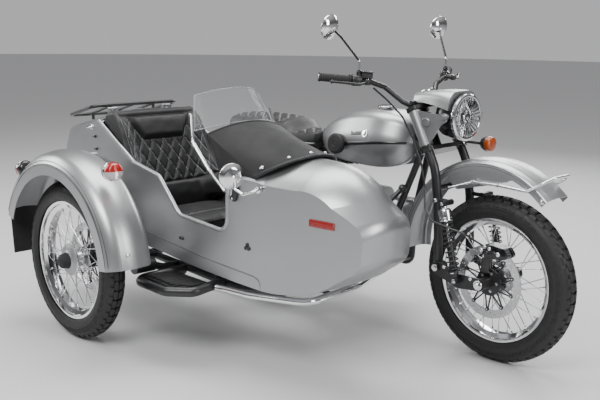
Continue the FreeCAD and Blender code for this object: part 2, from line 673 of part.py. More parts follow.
def front_shocks():
    y = SHOCK_Y
    return both(spring_damper((SHOCK_LOW[0], y, SHOCK_LOW[1]), (SHOCK_TOP[0], y, SHOCK_TOP[1]), 26, 3.6, 10, 0.22))


def front_caliper():
    """Brake caliper over the top front of the disc, with its bracket to the link."""
    y = -DISC_Y
    cx, cz = FRONT_X + 42, AXLE_Z + 138
    outline = [(cx - 62, cz - 18, 12), (cx - 50, cz + 26, 18), (cx + 40, cz + 20, 20),
               (cx + 70, cz - 16, 14), (cx + 20, cz - 30, 14)]
    body = plate(outline, y - 34, y + 22)
    slot = plate([(FRONT_X - 200, AXLE_Z - 20, 0), (FRONT_X + 200, AXLE_Z - 20, 0),
                  (FRONT_X + 200, AXLE_Z + 156, 0), (FRONT_X - 200, AXLE_Z + 156, 0)], y - 5, y + 5)
    body = body.cut(slot)
    bracket = plate([(cx - 66, cz - 14, 8), (cx - 20, cz - 22, 8), (FRONT_X + 8, AXLE_Z + 40, 8),
                     (FRONT_X - 30, AXLE_Z + 34, 8)], y - 20, y - 12)
    return [fuse([body, bracket])]


def front_fender():
    """Front wing: a crowned channel with side valances, stays and a flared tip."""
    half, r = WING_HALF, WING_R
    path = [(-half, r - 46, 0), (-half, r - 18, 14), (-half + 20, r - 4, 34), (0, r + 2, 150),
            (half - 20, r - 4, 34), (half, r - 18, 14), (half, r - 46, 0)]
    outline = strip(path, SHEET)
    centre = (WING_CENTRE[0], 0, WING_CENTRE[1])
    channel = turned(outline, centre, (0, 1, 0), 90 - WING_END, WING_END - WING_START)
    valance = plate([wing_xz(118, r - 30), wing_xz(96, r - 36), wing_xz(72, r - 30), wing_xz(73, r - 62),
                     (1300, 722, 30), (1210, 700, 20), wing_xz(119, r - 70)], half - 5, half - 2)
    return [fuse([channel] + both(valance))]


def wing_xz(degrees, radius, rounding=0.0):
    x, _, z = wing_point(degrees, radius)
    return (x, z, rounding)


def fender_rail():
    """Chrome rail along both sides of the front wing, joined in a loop over its tip."""
    y = WING_HALF + 12
    side = [(1182, y, 704), (1300, y, 745), (1420, y, 748), (1545, y, 742)]
    points = side + [(1612, y - 4, 782), (1640, 46, 803), (1640, -46, 803), (1612, -y + 4, 782)]
    points += [(x, -yy, z) for x, yy, z in side[::-1]]
    return [pipe(points, 5.5, 22)]


def headlamp_shell():
    """Deep round bucket with its trim ring."""
    return [turned([(-132, 0, 0), (-128, 40, 20), (-92, 84, 40), (-50, LAMP_R, 0), (-14, LAMP_R, 0), (-14, LAMP_R + 3, 0),
                    (0, LAMP_R + 3, 4), (2, LAMP_R - 5, 0), (-6, LAMP_R - 9, 0), (-6, 0, 0)],
                   (LAMP_X, 0, LAMP_Z), (1, 0, 0))]


def headlamp_lens():
    return [turned([(-6 + SEAT_GAP, 0, 0), (-6 + SEAT_GAP, LAMP_R - 9 - SEAT_GAP, 0), (1, LAMP_R - 10, 3),
                    (7, 40, 120), (8, 0, 0)], (LAMP_X, 0, LAMP_Z), (1, 0, 0))]


COWL_SECTIONS = [
    # x, half width, low z, crown z, shoulder radius
    (968, 76, 1046, 1078, 24),
    (1040, 88, 1040, 1090, 34),
    (1110, 97, 1030, 1095, 46),
    (1166, 101, 1018, 1094, 60),
]


def nacelle():
    """Cowl over the headlamp and the top clamp, with the dial at its rear."""
    def wires(wall):
        rows = []
        for x, half, low, crown, r in COWL_SECTIONS:
            pts = [(-half + wall, low, 0), (half - wall, low, 0), (half * 0.86 - wall, crown - wall, r),
                   (-half * 0.86 + wall, crown - wall, r)]
            rows.append(rounded([(V(x, y, z), q) for y, z, q in pts]))
        return rows
    shell = Part.makeLoft(wires(0), True, False)
    bucket = rod((LAMP_X - 150, 0, LAMP_Z), (LAMP_X + 30, 0, LAMP_Z), LAMP_R + SEAT_GAP)
    hollow = box(900, 1200, -62, 62, 1000, 1062)
    dial = rod(steer_point(HEAD_HIGH + 44, 40), steer_point(HEAD_HIGH + 82, 40), 44)
    return [fuse([shell, dial]).cut(bucket).cut(hollow)]


GRIP_IN = (835.0, 312.0, 1131.0)
GRIP_OUT = (760.0, 430.0, 1143.0)
BAR_R = 11.0
YOKE_GAP = 6.0              # from the head tube's ends to the clamps
BAR_CLAMP = (HEAD_HIGH + YOKE_GAP + 36 + SEAT_GAP, 6.0)     # up the steering axis, ahead of it
GRIP_R = 17.0
SWITCH_R = 24.0
MIRROR_BASE = (850.0, 289.0, 1153.5)
MIRROR_JOINT = (783.0, 330.0, 1303.0)
MIRROR_HEAD = (742.0, 360.0, 1343.0)
MIRROR_R = 52.0


def between(a, b, t):
    return tuple(p + (q - p) * t for p, q in zip(a, b))


def bar_pipe(radius):
    """The bar's own tube, from grip to grip, at any radius."""
    clamp = steer_point(*BAR_CLAMP)
    half = [(clamp[0], 76, clamp[2]), (934, 106, clamp[2] + 16), (892, 170, 1098),
            between(GRIP_IN, GRIP_OUT, -0.52), between(GRIP_IN, GRIP_OUT, 0.96)]
    points = [(x, -y, z) for x, y, z in half[::-1]] + half
    return pipe(points, radius, 26)


def handlebar():
    """Wide bar in two clamps on the top yoke."""
    clamp = steer_point(*BAR_CLAMP)
    bar = bar_pipe(BAR_R)
    low = steer_point(HEAD_HIGH + YOKE_GAP + 16 + SEAT_GAP, BAR_CLAMP[1])
    clamps = [rod((low[0], s * 62, low[2]), (clamp[0], s * 62, clamp[2]), 15) for s in (-1, 1)]
    clamps += [rod((clamp[0], s * 52, clamp[2]), (clamp[0], s * 74, clamp[2]), 19) for s in (-1, 1)]
    return [fuse([bar] + clamps)]


def bar_controls():
    """Grips, switch housings, levers and the brake's fluid reservoir."""
    def along(t):
        return between(GRIP_IN, GRIP_OUT, t)
    lever_root = (GRIP_IN[0] + 62, GRIP_IN[1] - 26, GRIP_IN[2] - 8)
    lever_end = (GRIP_OUT[0] + 66, GRIP_OUT[1] - 8, GRIP_OUT[2] - 16)
    side = [
        rod(along(0.06), along(1.0), GRIP_R),
        rod(along(0.03), along(0.09), GRIP_R + 5),
        rod(along(-0.27), along(0.03), SWITCH_R),
        rod(along(-0.46), along(-0.33), 17),
        rod(along(-0.34), along(-0.26), 14),
        rod(along(-0.40), lever_root, 11, 9),
        pipe([lever_root, (GRIP_IN[0] + 52, GRIP_IN[1] + 16, GRIP_IN[2] - 14), lever_end], 5.5, 30),
        ball(lever_end, 8),
    ]
    one = fuse(side).cut(bar_pipe(BAR_R + SEAT_GAP))
    return both(one)


def mirrors():
    """Round mirror and its cranked stalk on each side of the bar."""
    bx, by, bz = MIRROR_BASE
    stalk = pipe([(bx, by, bz + 2), (bx, by, bz + 55), MIRROR_JOINT, between(MIRROR_JOINT, MIRROR_HEAD, 0.8)], 5, 12)
    clamp = rod(MIRROR_BASE, (bx, by, bz + 16), 10)
    head = turned([(0, 0, 0), (0, MIRROR_R, 0), (9, MIRROR_R, 3), (22, 34, 30), (27, 0, 0)],
                  MIRROR_HEAD, (0.86, -0.10, -0.16))
    return both(fuse([stalk, clamp, head]))


def front_indicator():
    """Amber lamp on the left of the fork, on its stalk."""
    knee = steer_point(HEAD_LOW - 15, FORK_FORWARD + 48, 92)
    foot = rod(steer_point(HEAD_LOW - 15, FORK_FORWARD + 34 + SEAT_GAP, 92), knee, 9)
    stalk = rod(knee, (1176, 138, 866), 7)
    lamp = turned([(-26, 0, 0), (-26, 24, 8), (6, 33, 6), (26, 31, 12), (30, 0, 0)], (1194, 150, 866), (1, 0, 0.02))
    return [fuse([stalk, foot, ball(knee, 9), lamp])]


def brake_hose():
    """Hose from the bar's reservoir down the right fork leg to the caliper."""
    points = [(884, -236, 1098), (930, -200, 1050), (985, -165, 985), (1030, -148, 900), (1078, -146, 800),
              (1105, -147, 700), (1126, -170, 620), (1185, -194, 580), (1262, -196, 568), (1330, -176, 552),
              (1404, -136, 506), (1404, -DISC_Y - 34 - SEAT_GAP, 505)]
    return [pipe(points, 4, 20)]


# ---------------------------------------------------------------- sidecar
BODY_REACH = BODY_HALF + 7.0            # the lofted skin runs past the panels by this reach, then is trimmed
# outline along the panels' edge and over the middle, as x, z at the panel, x, z over the middle, corner radius
BODY_OUTLINE = [
    (-500, 440, -505, 430, 50),
    (-562, 740, -588, 745, 55),
    (-500, 846, -512, 878, 60),
    (-219, 906, -219, 952, 160),
    (560, 777, 560, 868, 300),
    (840, 771, 850, 856, 700),
    (1125, 769, 1192, 844, 330),
    (1326, 647, 1358, 662, 72),
    (1326, 512, 1350, 518, 84),
    (1127, 369, 1130, 371, 420),
    (915, 343, 915, 341, 500),
]
BODY_PLAN = [
    # x, half width, corner radius
    (-760, BODY_HALF - 55, 0),
    (-330, BODY_HALF, 500),
    (640, BODY_HALF, 3000),
    (1600, BODY_HALF - 159, 0),
]


def half_width(x):
    """Half width of the tub along its length, with the plan's corners left sharp."""
    for (xa, ha, _), (xb, hb, _) in zip(BODY_PLAN, BODY_PLAN[1:]):
        if x <= xb:
            return ha + (hb - ha) * (x - xa) / (xb - xa)


def body_form(wall):
    """The tub's outer form, or its inner one when a wall is taken off."""
    edge = inset([(x, z, r) for x, z, _, _, r in BODY_OUTLINE], wall)
    middle = inset([(x, z, r) for _, _, x, z, r in BODY_OUTLINE], wall)
    wide = []
    for (x, z, r), (mx, mz, _), row in zip(edge, middle, BODY_OUTLINE):
        k = (BODY_REACH / half_width(row[0])) ** 2
        wide.append((mx + (x - mx) * k, mz + (z - mz) * k, r))
    wires = [side_wire(wide, BODY_MID_Y - BODY_REACH), side_wire(middle, BODY_MID_Y),
             side_wire(wide, BODY_MID_Y + BODY_REACH)]
    skin = Part.makeLoft(wires, True, False)
    sides = [(x, BODY_MID_Y + h, r) for x, h, r in BODY_PLAN] + [(x, BODY_MID_Y - h, r) for x, h, r in BODY_PLAN[::-1]]
    return skin.common(plan(inset(sides, wall), 200, 1100))


OUTER_FORM = []


def skin_hit(start, end):
    """Box round the part of a line that lies inside the tub's outer form."""
    if not OUTER_FORM:
        OUTER_FORM.append(body_form(0))
    return Part.makeLine(V(*start), V(*end)).common(OUTER_FORM[0]).BoundBox


def skin_z(x, y, top=True):
    """Height of the tub's outer skin at a place, on its top or its underside."""
    hit = skin_hit((x, y, 100), (x, y, 1300))
    return hit.ZMax if top else hit.ZMin


def panel_y(x, z, right=True):
    """Side position of the tub's right or left panel at a place."""
    hit = skin_hit((x, BODY_MID_Y - 400, z), (x, BODY_MID_Y + 400, z))
    return hit.YMin if right else hit.YMax


def on_panel(shape, x, z):
    """Put a shape drawn against y = 0, its outside towards -y, on the tub's right panel at a place."""
    y0, y1 = panel_y(x - 20, z), panel_y(x + 20, z)
    shape.rotate(V(0, 0, 0), V(0, 0, 1), math.degrees(math.atan2(y1 - y0, 40)))
    shape.translate(V(x, (y0 + y1) / 2, z))
    return shape


# the entry on the right: x, z, corner radius along the tub's edge
ENTRY = [(-205, 906, 0), (70, 752, 120), (262, 716, 70), (405, 572, 60), (700, 548, 52), (704, 774, 0)]
# the other side stays high
FAR_EDGE = [(-205, 906, 0), (60, 790, 120), (300, 745, 200), (704, 774, 0)]
RIM_BEAD_R = 9.0            # rolled edge round the entry
LID_X = (-496.0, -246.0)
LID_Y = (BODY_MID_Y - 196, BODY_MID_Y + 196)


def sidecar_body():
    """Pressed tub, open over the cockpit and the boot, with a rolled edge and a seat base."""
    shell = body_form(0).cut(body_form(BODY_WALL))
    right = plate(ENTRY + [(704, 1100, 0), (-205, 1100, 0)], BODY_LOW - 60, BODY_MID_Y)
    left = plate(FAR_EDGE + [(704, 1100, 0), (-205, 1100, 0)], BODY_MID_Y, BODY_HIGH + 60)
    footwell = box(690, 790, BODY_LOW + 42, BODY_HIGH - 42, 650, 1000)
    boot = box(LID_X[0] - LID_GAP, LID_X[1] + LID_GAP, LID_Y[0] - LID_GAP, LID_Y[1] + LID_GAP, 780, 1100)
    shell = shell.cut(right).cut(left).cut(footwell).cut(boot)
    rims = []
    for right, edge in ((True, ENTRY), (False, FAR_EDGE)):
        inward = 2 if right else -2
        points = [(x, panel_y(x, min(z, 740), right) + inward, z) for x, z, _ in edge]
        rims.append(pipe(points, RIM_BEAD_R, 50))
    base = box(-40, 400, BODY_LOW + 14, BODY_HIGH - 14, 385, 440)
    return [fuse([shell, base] + rims + lid_pins())]


def sidecar_cushion():
    outline = [(BODY_LOW + 24, 441, 14), (BODY_HIGH - 24, 441, 14), (BODY_HIGH - 24, 540, 26), (BODY_LOW + 24, 540, 26)]
    return [cross(outline, 62, 402)]


def sidecar_backrest():
    """Upholstered back with wings along both panels."""
    middle = plate([(-194, 912, 16), (-168, 958, 24), (-110, 958, 30), (56, 560, 30), (56, 446, 10), (-60, 446, 40)],
                   BODY_LOW + 16, BODY_HIGH - 16)
    wing = [(-150, 940, 30), (-60, 905, 60), (30, 745, 80), (130, 700, 30), (150, 560, 40), (60, 542, 0), (-40, 600, 0)]
    right = plate(wing, BODY_LOW + 16, BODY_LOW + 52)
    left = plate(wing, BODY_HIGH - 52, BODY_HIGH - 16)
    return [fuse([middle, right, left])]


def arc_through(a, b, c):
    return Part.Arc(V(*a), V(*b), V(*c)).toShape()


HOOP = [(548, BODY_LOW + 44, 915), (578, BODY_MID_Y, 956), (548, BODY_HIGH - 44, 915)]
COWL_X = 834.0              # where the cover's lower edge meets the panels
COWL_MID = (966.0, 859.0)   # its foremost point, over the middle, in x and z
COVER = 4.0


def sheet_between(a, b, push):
    """Sheet spanned between two arcs, given a thickness along a direction."""
    face = Part.makeRuledSurface(arc_through(*a), arc_through(*b))
    return face.extrude(V(*push))


def cockpit_apron():
    """Weather cover over the footwell, from the hoop down to the cowl, with its side flaps."""
    right_end, left_end = panel_y(COWL_X, 740) + 6, panel_y(COWL_X, 740, False) - 6
    cowl_edge = [(COWL_X, right_end, skin_z(COWL_X, right_end) + 4), (COWL_MID[0], BODY_MID_Y, COWL_MID[1]),
                 (COWL_X, left_end, skin_z(COWL_X, left_end) + 4)]
    pieces = [sheet_between(HOOP, cowl_edge, (0, 0, COVER))]
    for right, i in ((True, 0), (False, 2)):
        inward = 1 if right else -1
        y = panel_y(698, 740, right) + inward * (RIM_BEAD_R + 3)
        hoop, cowl = V(*HOOP[i]), V(*cowl_edge[i])
        inset = (cowl - hoop) * 0.02
        rise = V(0, inward * 0.6, COVER - 1)
        hoop, cowl = hoop + inset + rise, cowl - inset + rise
        tuck, foot = V(694, y, 796), V(686, y, 702)
        for corners in ((hoop, cowl, tuck), (hoop, tuck, foot)):
            wire = Part.makePolygon(list(corners) + [corners[0]])
            pieces.append(Part.Face(wire).extrude(V(0, inward * COVER, 0)))
    return [fuse(pieces)]


SCREEN_LOW = [(478, BODY_LOW + 30, 925), (574, BODY_MID_Y, 962), (478, BODY_HIGH - 30, 925)]
SCREEN_HIGH = [(418, BODY_LOW + 76, 1062), (486, BODY_MID_Y, 1092), (418, BODY_HIGH - 76, 1062)]


def windscreen():
    """Clear wrap-round screen standing on the hoop."""
    return [sheet_between(SCREEN_LOW, SCREEN_HIGH, (-4, 0, 0))]


def screen_brackets():
    """Chrome strips that carry the screen, down both sides of the cover."""
    out = []
    for s, y in ((-1, BODY_LOW), (1, BODY_HIGH)):
        points = [(446, y - s * 35, 990), (482, y - s * 16, 880), (570, y - s * 28, 780), (668, y - s * 32, 706)]
        out.append(pipe(points, 6, 60))
    return out


MIRROR_FOOT = (745.0, 712.0)    # place of the mirror's foot on the right panel, in x and z


def sidecar_mirror():
    """Round side mirror on a cranked arm, over its oval foot."""
    foot = plate([(-23, -24, 12), (7, -36, 14), (23, 30, 12), (-5, 36, 12)], -8, -SEAT_GAP)
    arm = pipe([(127, -4, 30), (123, -28, 26), (85, -48, 12), (47, -52, 30), (39, -46, 66)], 6, 10)
    lug = rod((127, 1, 31), (127, -12, 30), 13)
    head = turned([(0, 0, 0), (0, 50, 0), (8, 50, 3), (18, 34, 20), (22, 0, 0)], (25, -48, 76), (0.8, -0.35, 0.0))
    return [on_panel(foot, *MIRROR_FOOT), on_panel(fuse([arm, lug, head]), *MIRROR_FOOT)]


LID_PIN_R = 3.0
KNUCKLE_R = 7.0
KNUCKLES = (-150.0, 150.0)  # hinge places across the lid, from the tub's middle


def hinge_axis():
    """Point on the lid's hinge axis, just above the highest part of its front edge."""
    return (LID_X[1] + 4.0, BODY_MID_Y, skin_z(LID_X[1], BODY_MID_Y) + KNUCKLE_R + 1.0)


def trunk_lid():
    """Boot lid cut from the tub's own skin, with its hinge knuckles."""
    skin = body_form(0).cut(body_form(BODY_WALL / 2))
    lid = skin.common(box(LID_X[0], LID_X[1], LID_Y[0], LID_Y[1], 780, 1100))
    x, _, z = hinge_axis()
    pieces = [lid]
    for k in KNUCKLES:
        y = BODY_MID_Y + k
        low = skin_z(LID_X[1] - 18, y) - 2
        pieces.append(rod((x, y - 10, z), (x, y + 10, z), KNUCKLE_R))
        pieces.append(box(x - 24, x, y - 10, y + 10, z - 2, z + 2))
        pieces.append(box(x - 24, x - 18, y - 10, y + 10, low, z))
    bore = rod((x, LID_Y[0], z), (x, LID_Y[1], z), LID_PIN_R + RUNNING_GAP)
    return [fuse(pieces).cut(bore)]


def lid_pins():
    """The tub's half of the lid's hinges: a pin between two lugs at each place."""
    x, _, z = hinge_axis()
    pieces = []
    for k in KNUCKLES:
        y = BODY_MID_Y + k
        pieces.append(rod((x, y - 24, z), (x, y + 24, z), LID_PIN_R))
        for side in (-1, 1):
            a, b = y + side * 11, y + side * 24
            pieces.append(rod((x, a, z), (x, b, z), KNUCKLE_R))
            low = skin_z(x + 12, y) - BODY_WALL / 2
            pieces.append(box(x + 2, x + 14, min(a, b), max(a, b), low, z + 4))
    return pieces


RACK_X = (-492.0, -264.0)
RACK_Y = (BODY_MID_Y - 235, BODY_MID_Y + 235)
RACK_LOW = 905.0            # rack height over its rear and front ends
RACK_HIGH = 968.0


def rack_z(x):
    return RACK_LOW + (RACK_HIGH - RACK_LOW) * (x - RACK_X[0]) / (RACK_X[1] - RACK_X[0])


def luggage_rack():
    """Tube rack over the boot lid on four feet."""
    x0, x1 = RACK_X
    y0, y1 = RACK_Y
    ends = [(x0, y0, rack_z(x0)), (x1, y0, rack_z(x1)), (x1, y1, rack_z(x1)), (x0, y1, rack_z(x0))]
    middle = ((x0 + x1) / 2, y0, rack_z((x0 + x1) / 2))
    loop = [pipe([middle, ends[1], ends[2], (middle[0], y1, middle[2])], 8, 40),
            pipe([middle, ends[0], ends[3], (middle[0], y1, middle[2])], 8, 40)]
    bars = [rod((x0 + 4, y, rack_z(x0) + 1), (x1 - 4, y, rack_z(x1) + 1), 6)
            for y in (BODY_MID_Y - 120, BODY_MID_Y, BODY_MID_Y + 120)]
    feet = []
    for y in (BODY_MID_Y - 120, BODY_MID_Y + 120):
        for x in (x0 + 30, x1 - 40):
            feet.append(rod((x, y, rack_z(x) - 2), (x, y, skin_z(x + 7, y) + SEAT_GAP), 7))
    return [fuse(loop + bars + feet)]


RAIL_IN_Y = BODY_HIGH - 65.0
RAIL_OUT_Y = BODY_LOW + 80.0
RAIL_Z = 333.0
RAIL_DROP = 22.0            # the rails run this much lower at the front
RAIL_R = 17.0
STEP_R = 20.0
FRONT_CROSS_X = 870.0
REST_X = (-250.0, 560.0)
TOWER_Y = SIDE_Y + 210.0
SIDE_SHOCK_Y = SIDE_Y + 161.0
PIVOT_Y = SIDE_Y + 179.0    # where the chassis ends and the wheel arm begins
SIDE_SHOCK_X = -52.0
SIDE_SHOCK_TOP = 690.0
ARM_PIVOT = (292.0, 350.0)
ARM_END_Y = SIDE_Y + HUB_END + 1.0


def beside(a, b, share, direction, distance):
    """Point next to the bar a-b: at a share of its length, moved square to it towards a direction."""
    a, b = V(*a), V(*b)
    u = (b - a).normalize()
    out = V(*direction)
    out = (out - u * out.dot(u)).normalize()
    at = a + (b - a) * share + out * distance
    return (at.x, at.y, at.z)


def sidecar_chassis():
    """Tube frame under the tub, its wheel arm pivot, shock tower and the struts to the motorcycle."""
    z, front = RAIL_Z, RAIL_Z - RAIL_DROP
    px, pz = ARM_PIVOT
    pieces = [
        pipe([(-330, RAIL_IN_Y, z + 25), (-100, RAIL_IN_Y, z), (770, RAIL_IN_Y, front),
              (FRONT_CROSS_X, RAIL_IN_Y - 65, front)], RAIL_R, 60),
        pipe([(-330, RAIL_OUT_Y, z + 25), (-100, RAIL_OUT_Y, z), (700, RAIL_OUT_Y, front),
              (FRONT_CROSS_X, RAIL_OUT_Y + 90, front)], RAIL_R, 60),
        rod((FRONT_CROSS_X, RAIL_IN_Y - 56, front), (FRONT_CROSS_X, RAIL_OUT_Y + 81, front), RAIL_R - 2),
        rod((-320, RAIL_IN_Y, z + 24), (-320, RAIL_OUT_Y, z + 24), 15),
        rod((300, RAIL_IN_Y, z - 9), (300, RAIL_OUT_Y, z - 9), 15),
        rod((60, RAIL_IN_Y, z - 4), (60, RAIL_OUT_Y, z - 4), 15),
        # carrier of the wheel arm's pivot
        pipe([(px, RAIL_OUT_Y, z - 9), (px, PIVOT_Y + 66, z - 7), (px, PIVOT_Y + 6, pz)], 16, 60),
        rod((px, PIVOT_Y + 20, pz), (px, PIVOT_Y, pz), 30),
        # shock tower outside the tub
        pipe([(-40, RAIL_OUT_Y, z), (-40, TOWER_Y + 45, z + 10), (-46, TOWER_Y, 440),
              (SIDE_SHOCK_X, TOWER_Y, SIDE_SHOCK_TOP + 6)], 14, 40),
        pipe([(130, RAIL_OUT_Y, z - 4), (124, TOWER_Y + 45, z + 6), (100, TOWER_Y, 420), (-46, TOWER_Y, 640)], 11, 36),
        rod((SIDE_SHOCK_X, TOWER_Y, SIDE_SHOCK_TOP),
            (SIDE_SHOCK_X, SIDE_SHOCK_Y + EYE_HALF + SEAT_GAP, SIDE_SHOCK_TOP), 12),
        # bracket of the bumper tube
        rod(beside(*BUMPER_FRONT, 0.5, (-1, 0, 0), 134), beside(*BUMPER_FRONT, 0.5, (-1, 0, 0), BUMPER_R + SEAT_GAP), 8),
    ]
    for x in REST_X:
        for y in (RAIL_IN_Y, RAIL_OUT_Y):
            pieces.append(rod((x, y, front), (x, y, skin_z(x + 14, y, top=False) - SEAT_GAP), 14))
    reach = STRUT_END_R + TUBE_R + SEAT_GAP
    rail_a, rail_b = (852.0, -CRADLE_Y, CRADLE_Z), (PIVOT[0] + 40, -CRADLE_Y, CRADLE_Z)
    down_a = (DOWN_TOP[0], -DOWN_TOP[1], DOWN_TOP[2])
    down_b = (DOWN_MID[0], -DOWN_MID[1], DOWN_MID[2])
    up_a = (PIVOT[0] - 20, -UPRIGHT_Y, PIVOT[1] + 70)
    up_b = (UPRIGHT_TOP[0], -UPRIGHT_TOP[1], UPRIGHT_TOP[2])
    struts = [
        # root on the rail, knee outboard of the tub, end beside the motorcycle's tube, radius
        ((780, RAIL_IN_Y, front), None, beside(rail_a, rail_b, 0.12, (0, -1, 0.3), reach), 14),
        ((60, RAIL_IN_Y, z - 4), None, beside(rail_a, rail_b, 0.86, (0, -1, 0.6), reach), 14),
        ((740, RAIL_IN_Y, front), (756, BODY_HIGH - 2, front + 12), beside(down_b, down_a, 0.3, (0, -1, 0), reach), 11),
        ((40, RAIL_IN_Y, z - 2), (44, BODY_HIGH - 2, z + 12), beside(up_a, up_b, 0.8, (0, -1, 0), reach), 11),
    ]
    for root, knee, end, radius in struts:
        if knee is not None:
            pieces += [rod(root, knee, radius + 3), ball(knee, radius + 3)]
        pieces += [rod(knee or root, end, radius), ball(end, STRUT_END_R)]
    return [fuse(pieces)]


STRUT_END_R = 18.0
BUMPER_R = 14.5
BUMPER_Z = RAIL_Z - RAIL_DROP
BUMPER_FRONT = ((1030.0, BODY_LOW + 146, BUMPER_Z), (1004.0, BODY_HIGH - 40, BUMPER_Z + 4))   # its run before the nose


def sidecar_swing_arm():
    """Trailing arm of the sidecar's wheel with its stub axle's lug."""
    px, pz = ARM_PIVOT
    end = ARM_END_Y
    tube = rod((px, PIVOT_Y - SEAT_GAP, pz), (px, end + 31, pz), 30)
    arm = pipe([(px - 4, end + 65, pz), (px - 130, end + 63, pz - 2), (px - 210, end + 47, pz - 4),
                (-6, end + 35, AXLE_Z)], 19, 60)
    boss = rod((0, end + 57, AXLE_Z), (0, end, AXLE_Z), 28)
    eye_y = SIDE_SHOCK_Y - EYE_HALF - SEAT_GAP
    eye = rod((SIDE_SHOCK_X, eye_y, AXLE_Z + 30), (SIDE_SHOCK_X, end + 35, AXLE_Z + 30), 12)
    lug = rod((SIDE_SHOCK_X, end + 47, AXLE_Z + 30), (-6, end + 43, AXLE_Z + 4), 14)
    solid = fuse([tube, arm, boss, eye, lug])
    return [solid.cut(rod((0, PIVOT_Y + 60, AXLE_Z), (0, SIDE_Y, AXLE_Z), AXLE_R + RUNNING_GAP))]


def sidecar_shock():
    return [spring_damper((SIDE_SHOCK_X, SIDE_SHOCK_Y, AXLE_Z + 30),
                          (SIDE_SHOCK_X, SIDE_SHOCK_Y, SIDE_SHOCK_TOP), 26, 4, 9, 0.3)]


SIDE_WING_START = 7.0
SIDE_WING_END = 160.0
SIDE_WING_Z = AXLE_Z


def side_wing_outline():
    y0, y1 = SIDE_WING_Y
    r = SIDE_WING_R
    return [(y0, r - 100, 0), (y0, r - 52, 24), (y0 + 30, r - 12, 60), ((y0 + y1) / 2, r + 4, 150),
            (y1 - 28, r - 10, 50), (y1, r - 40, 20), (y1, r - 78, 0)]


def sidecar_fender():
    """Wide crowned wing over the sidecar's wheel with its stays to the shock tower."""
    outline = strip(side_wing_outline(), SHEET)
    # the section's first coordinate is measured along y from the turning centre
    channel = turned(outline, (0, 0, SIDE_WING_Z), (0, 1, 0), 90 - SIDE_WING_END, SIDE_WING_END - SIDE_WING_START)
    top = SIDE_SHOCK_TOP + 12 + SEAT_GAP
    stay = pipe([(SIDE_SHOCK_X, TOWER_Y, top), (SIDE_SHOCK_X, TOWER_Y, top + 40), (-60, -985, top + 76),
                 (-60, SIDE_WING_Y[1] - 6, top + 82)], 10, 18)
    return [fuse([channel, stay])]


def fender_lamps():
    """Marker lamp at the front of the sidecar's wing and tail lamp at its rear."""
    front = turned([(-58, 0, 0), (-40, 22, 30), (-6, 38, 20), (24, 38, 10), (44, 30, 14), (50, 0, 0)],
                   (352, -1165, 778), (1, 0, 0.1))
    rear = turned([(-52, 0, 0), (-48, 30, 10), (0, 36, 8), (16, 26, 10), (16, 0, 0)],
                  (-392, -1150, 690), (1, 0, 0.25))
    return [front, rear]


def mud_flap():
    r = SIDE_WING_R
    a = math.radians(SIDE_WING_END)
    x, slope = r * math.cos(a), math.tan(a)
    outer, inner = (x - 2, SIDE_WING_Z + (x - 2) * slope - SEAT_GAP * 2), (x + 4, SIDE_WING_Z + (x + 4) * slope - SEAT_GAP * 2)
    return [plate([(*outer, 0), (*inner, 0), (x + 26, 300, 0), (x + 20, 300, 0)],
                  SIDE_WING_Y[0] + 34, SIDE_WING_Y[1] - 30)]


def side_step():
    """Step with a ribbed tread on a tube loop, carried by the outer rail."""
    root, y = RAIL_OUT_Y - RAIL_R - SEAT_GAP, BODY_LOW
    loop = pipe([(350, root, 315), (350, y + 4, 315), (286, y - 145, 294), (520, y - 155, 300), (614, y - 85, 304),
                 (612, y, 312), (612, root, 312)], STEP_R, 40)
    tread = plan([(312, y - 130, 20), (520, y - 136, 20), (594, y - 75, 30), (594, y + 18, 20), (340, y + 18, 20)],
                 304, 316)
    ribs = [box(336 + i * 32, 348 + i * 32, y - 120, y, 315, 320) for i in range(8)]
    return [fuse([loop, tread] + ribs)]


def bumper_tube():
    """Polished tube round the nose that ends in the ball clamps at the motorcycle."""
    z = BUMPER_Z
    tube = pipe([(640, BODY_LOW + 12, z), (800, BODY_LOW + 40, z), *BUMPER_FRONT, (900, -128, z + 2)], BUMPER_R, 80)
    clamps = [rod((917, -210, z), (921, -190, z + 40), 16), ball((922, -186, z + 46), 20),
              rod((905, -150, z), (920, -130, z + 42), 16), ball((922, -126, z + 48), 20)]
    return [fuse([tube] + clamps)]


# ---------------------------------------------------------------- assembly
def flat(shapes):
    """One shape from what a function gives: a shape, or a list of solids that don't touch."""
    if isinstance(shapes, (list, tuple)):
        if len(shapes) == 1:
            return shapes[0]
        return Part.makeCompound(list(shapes))
    return shapes


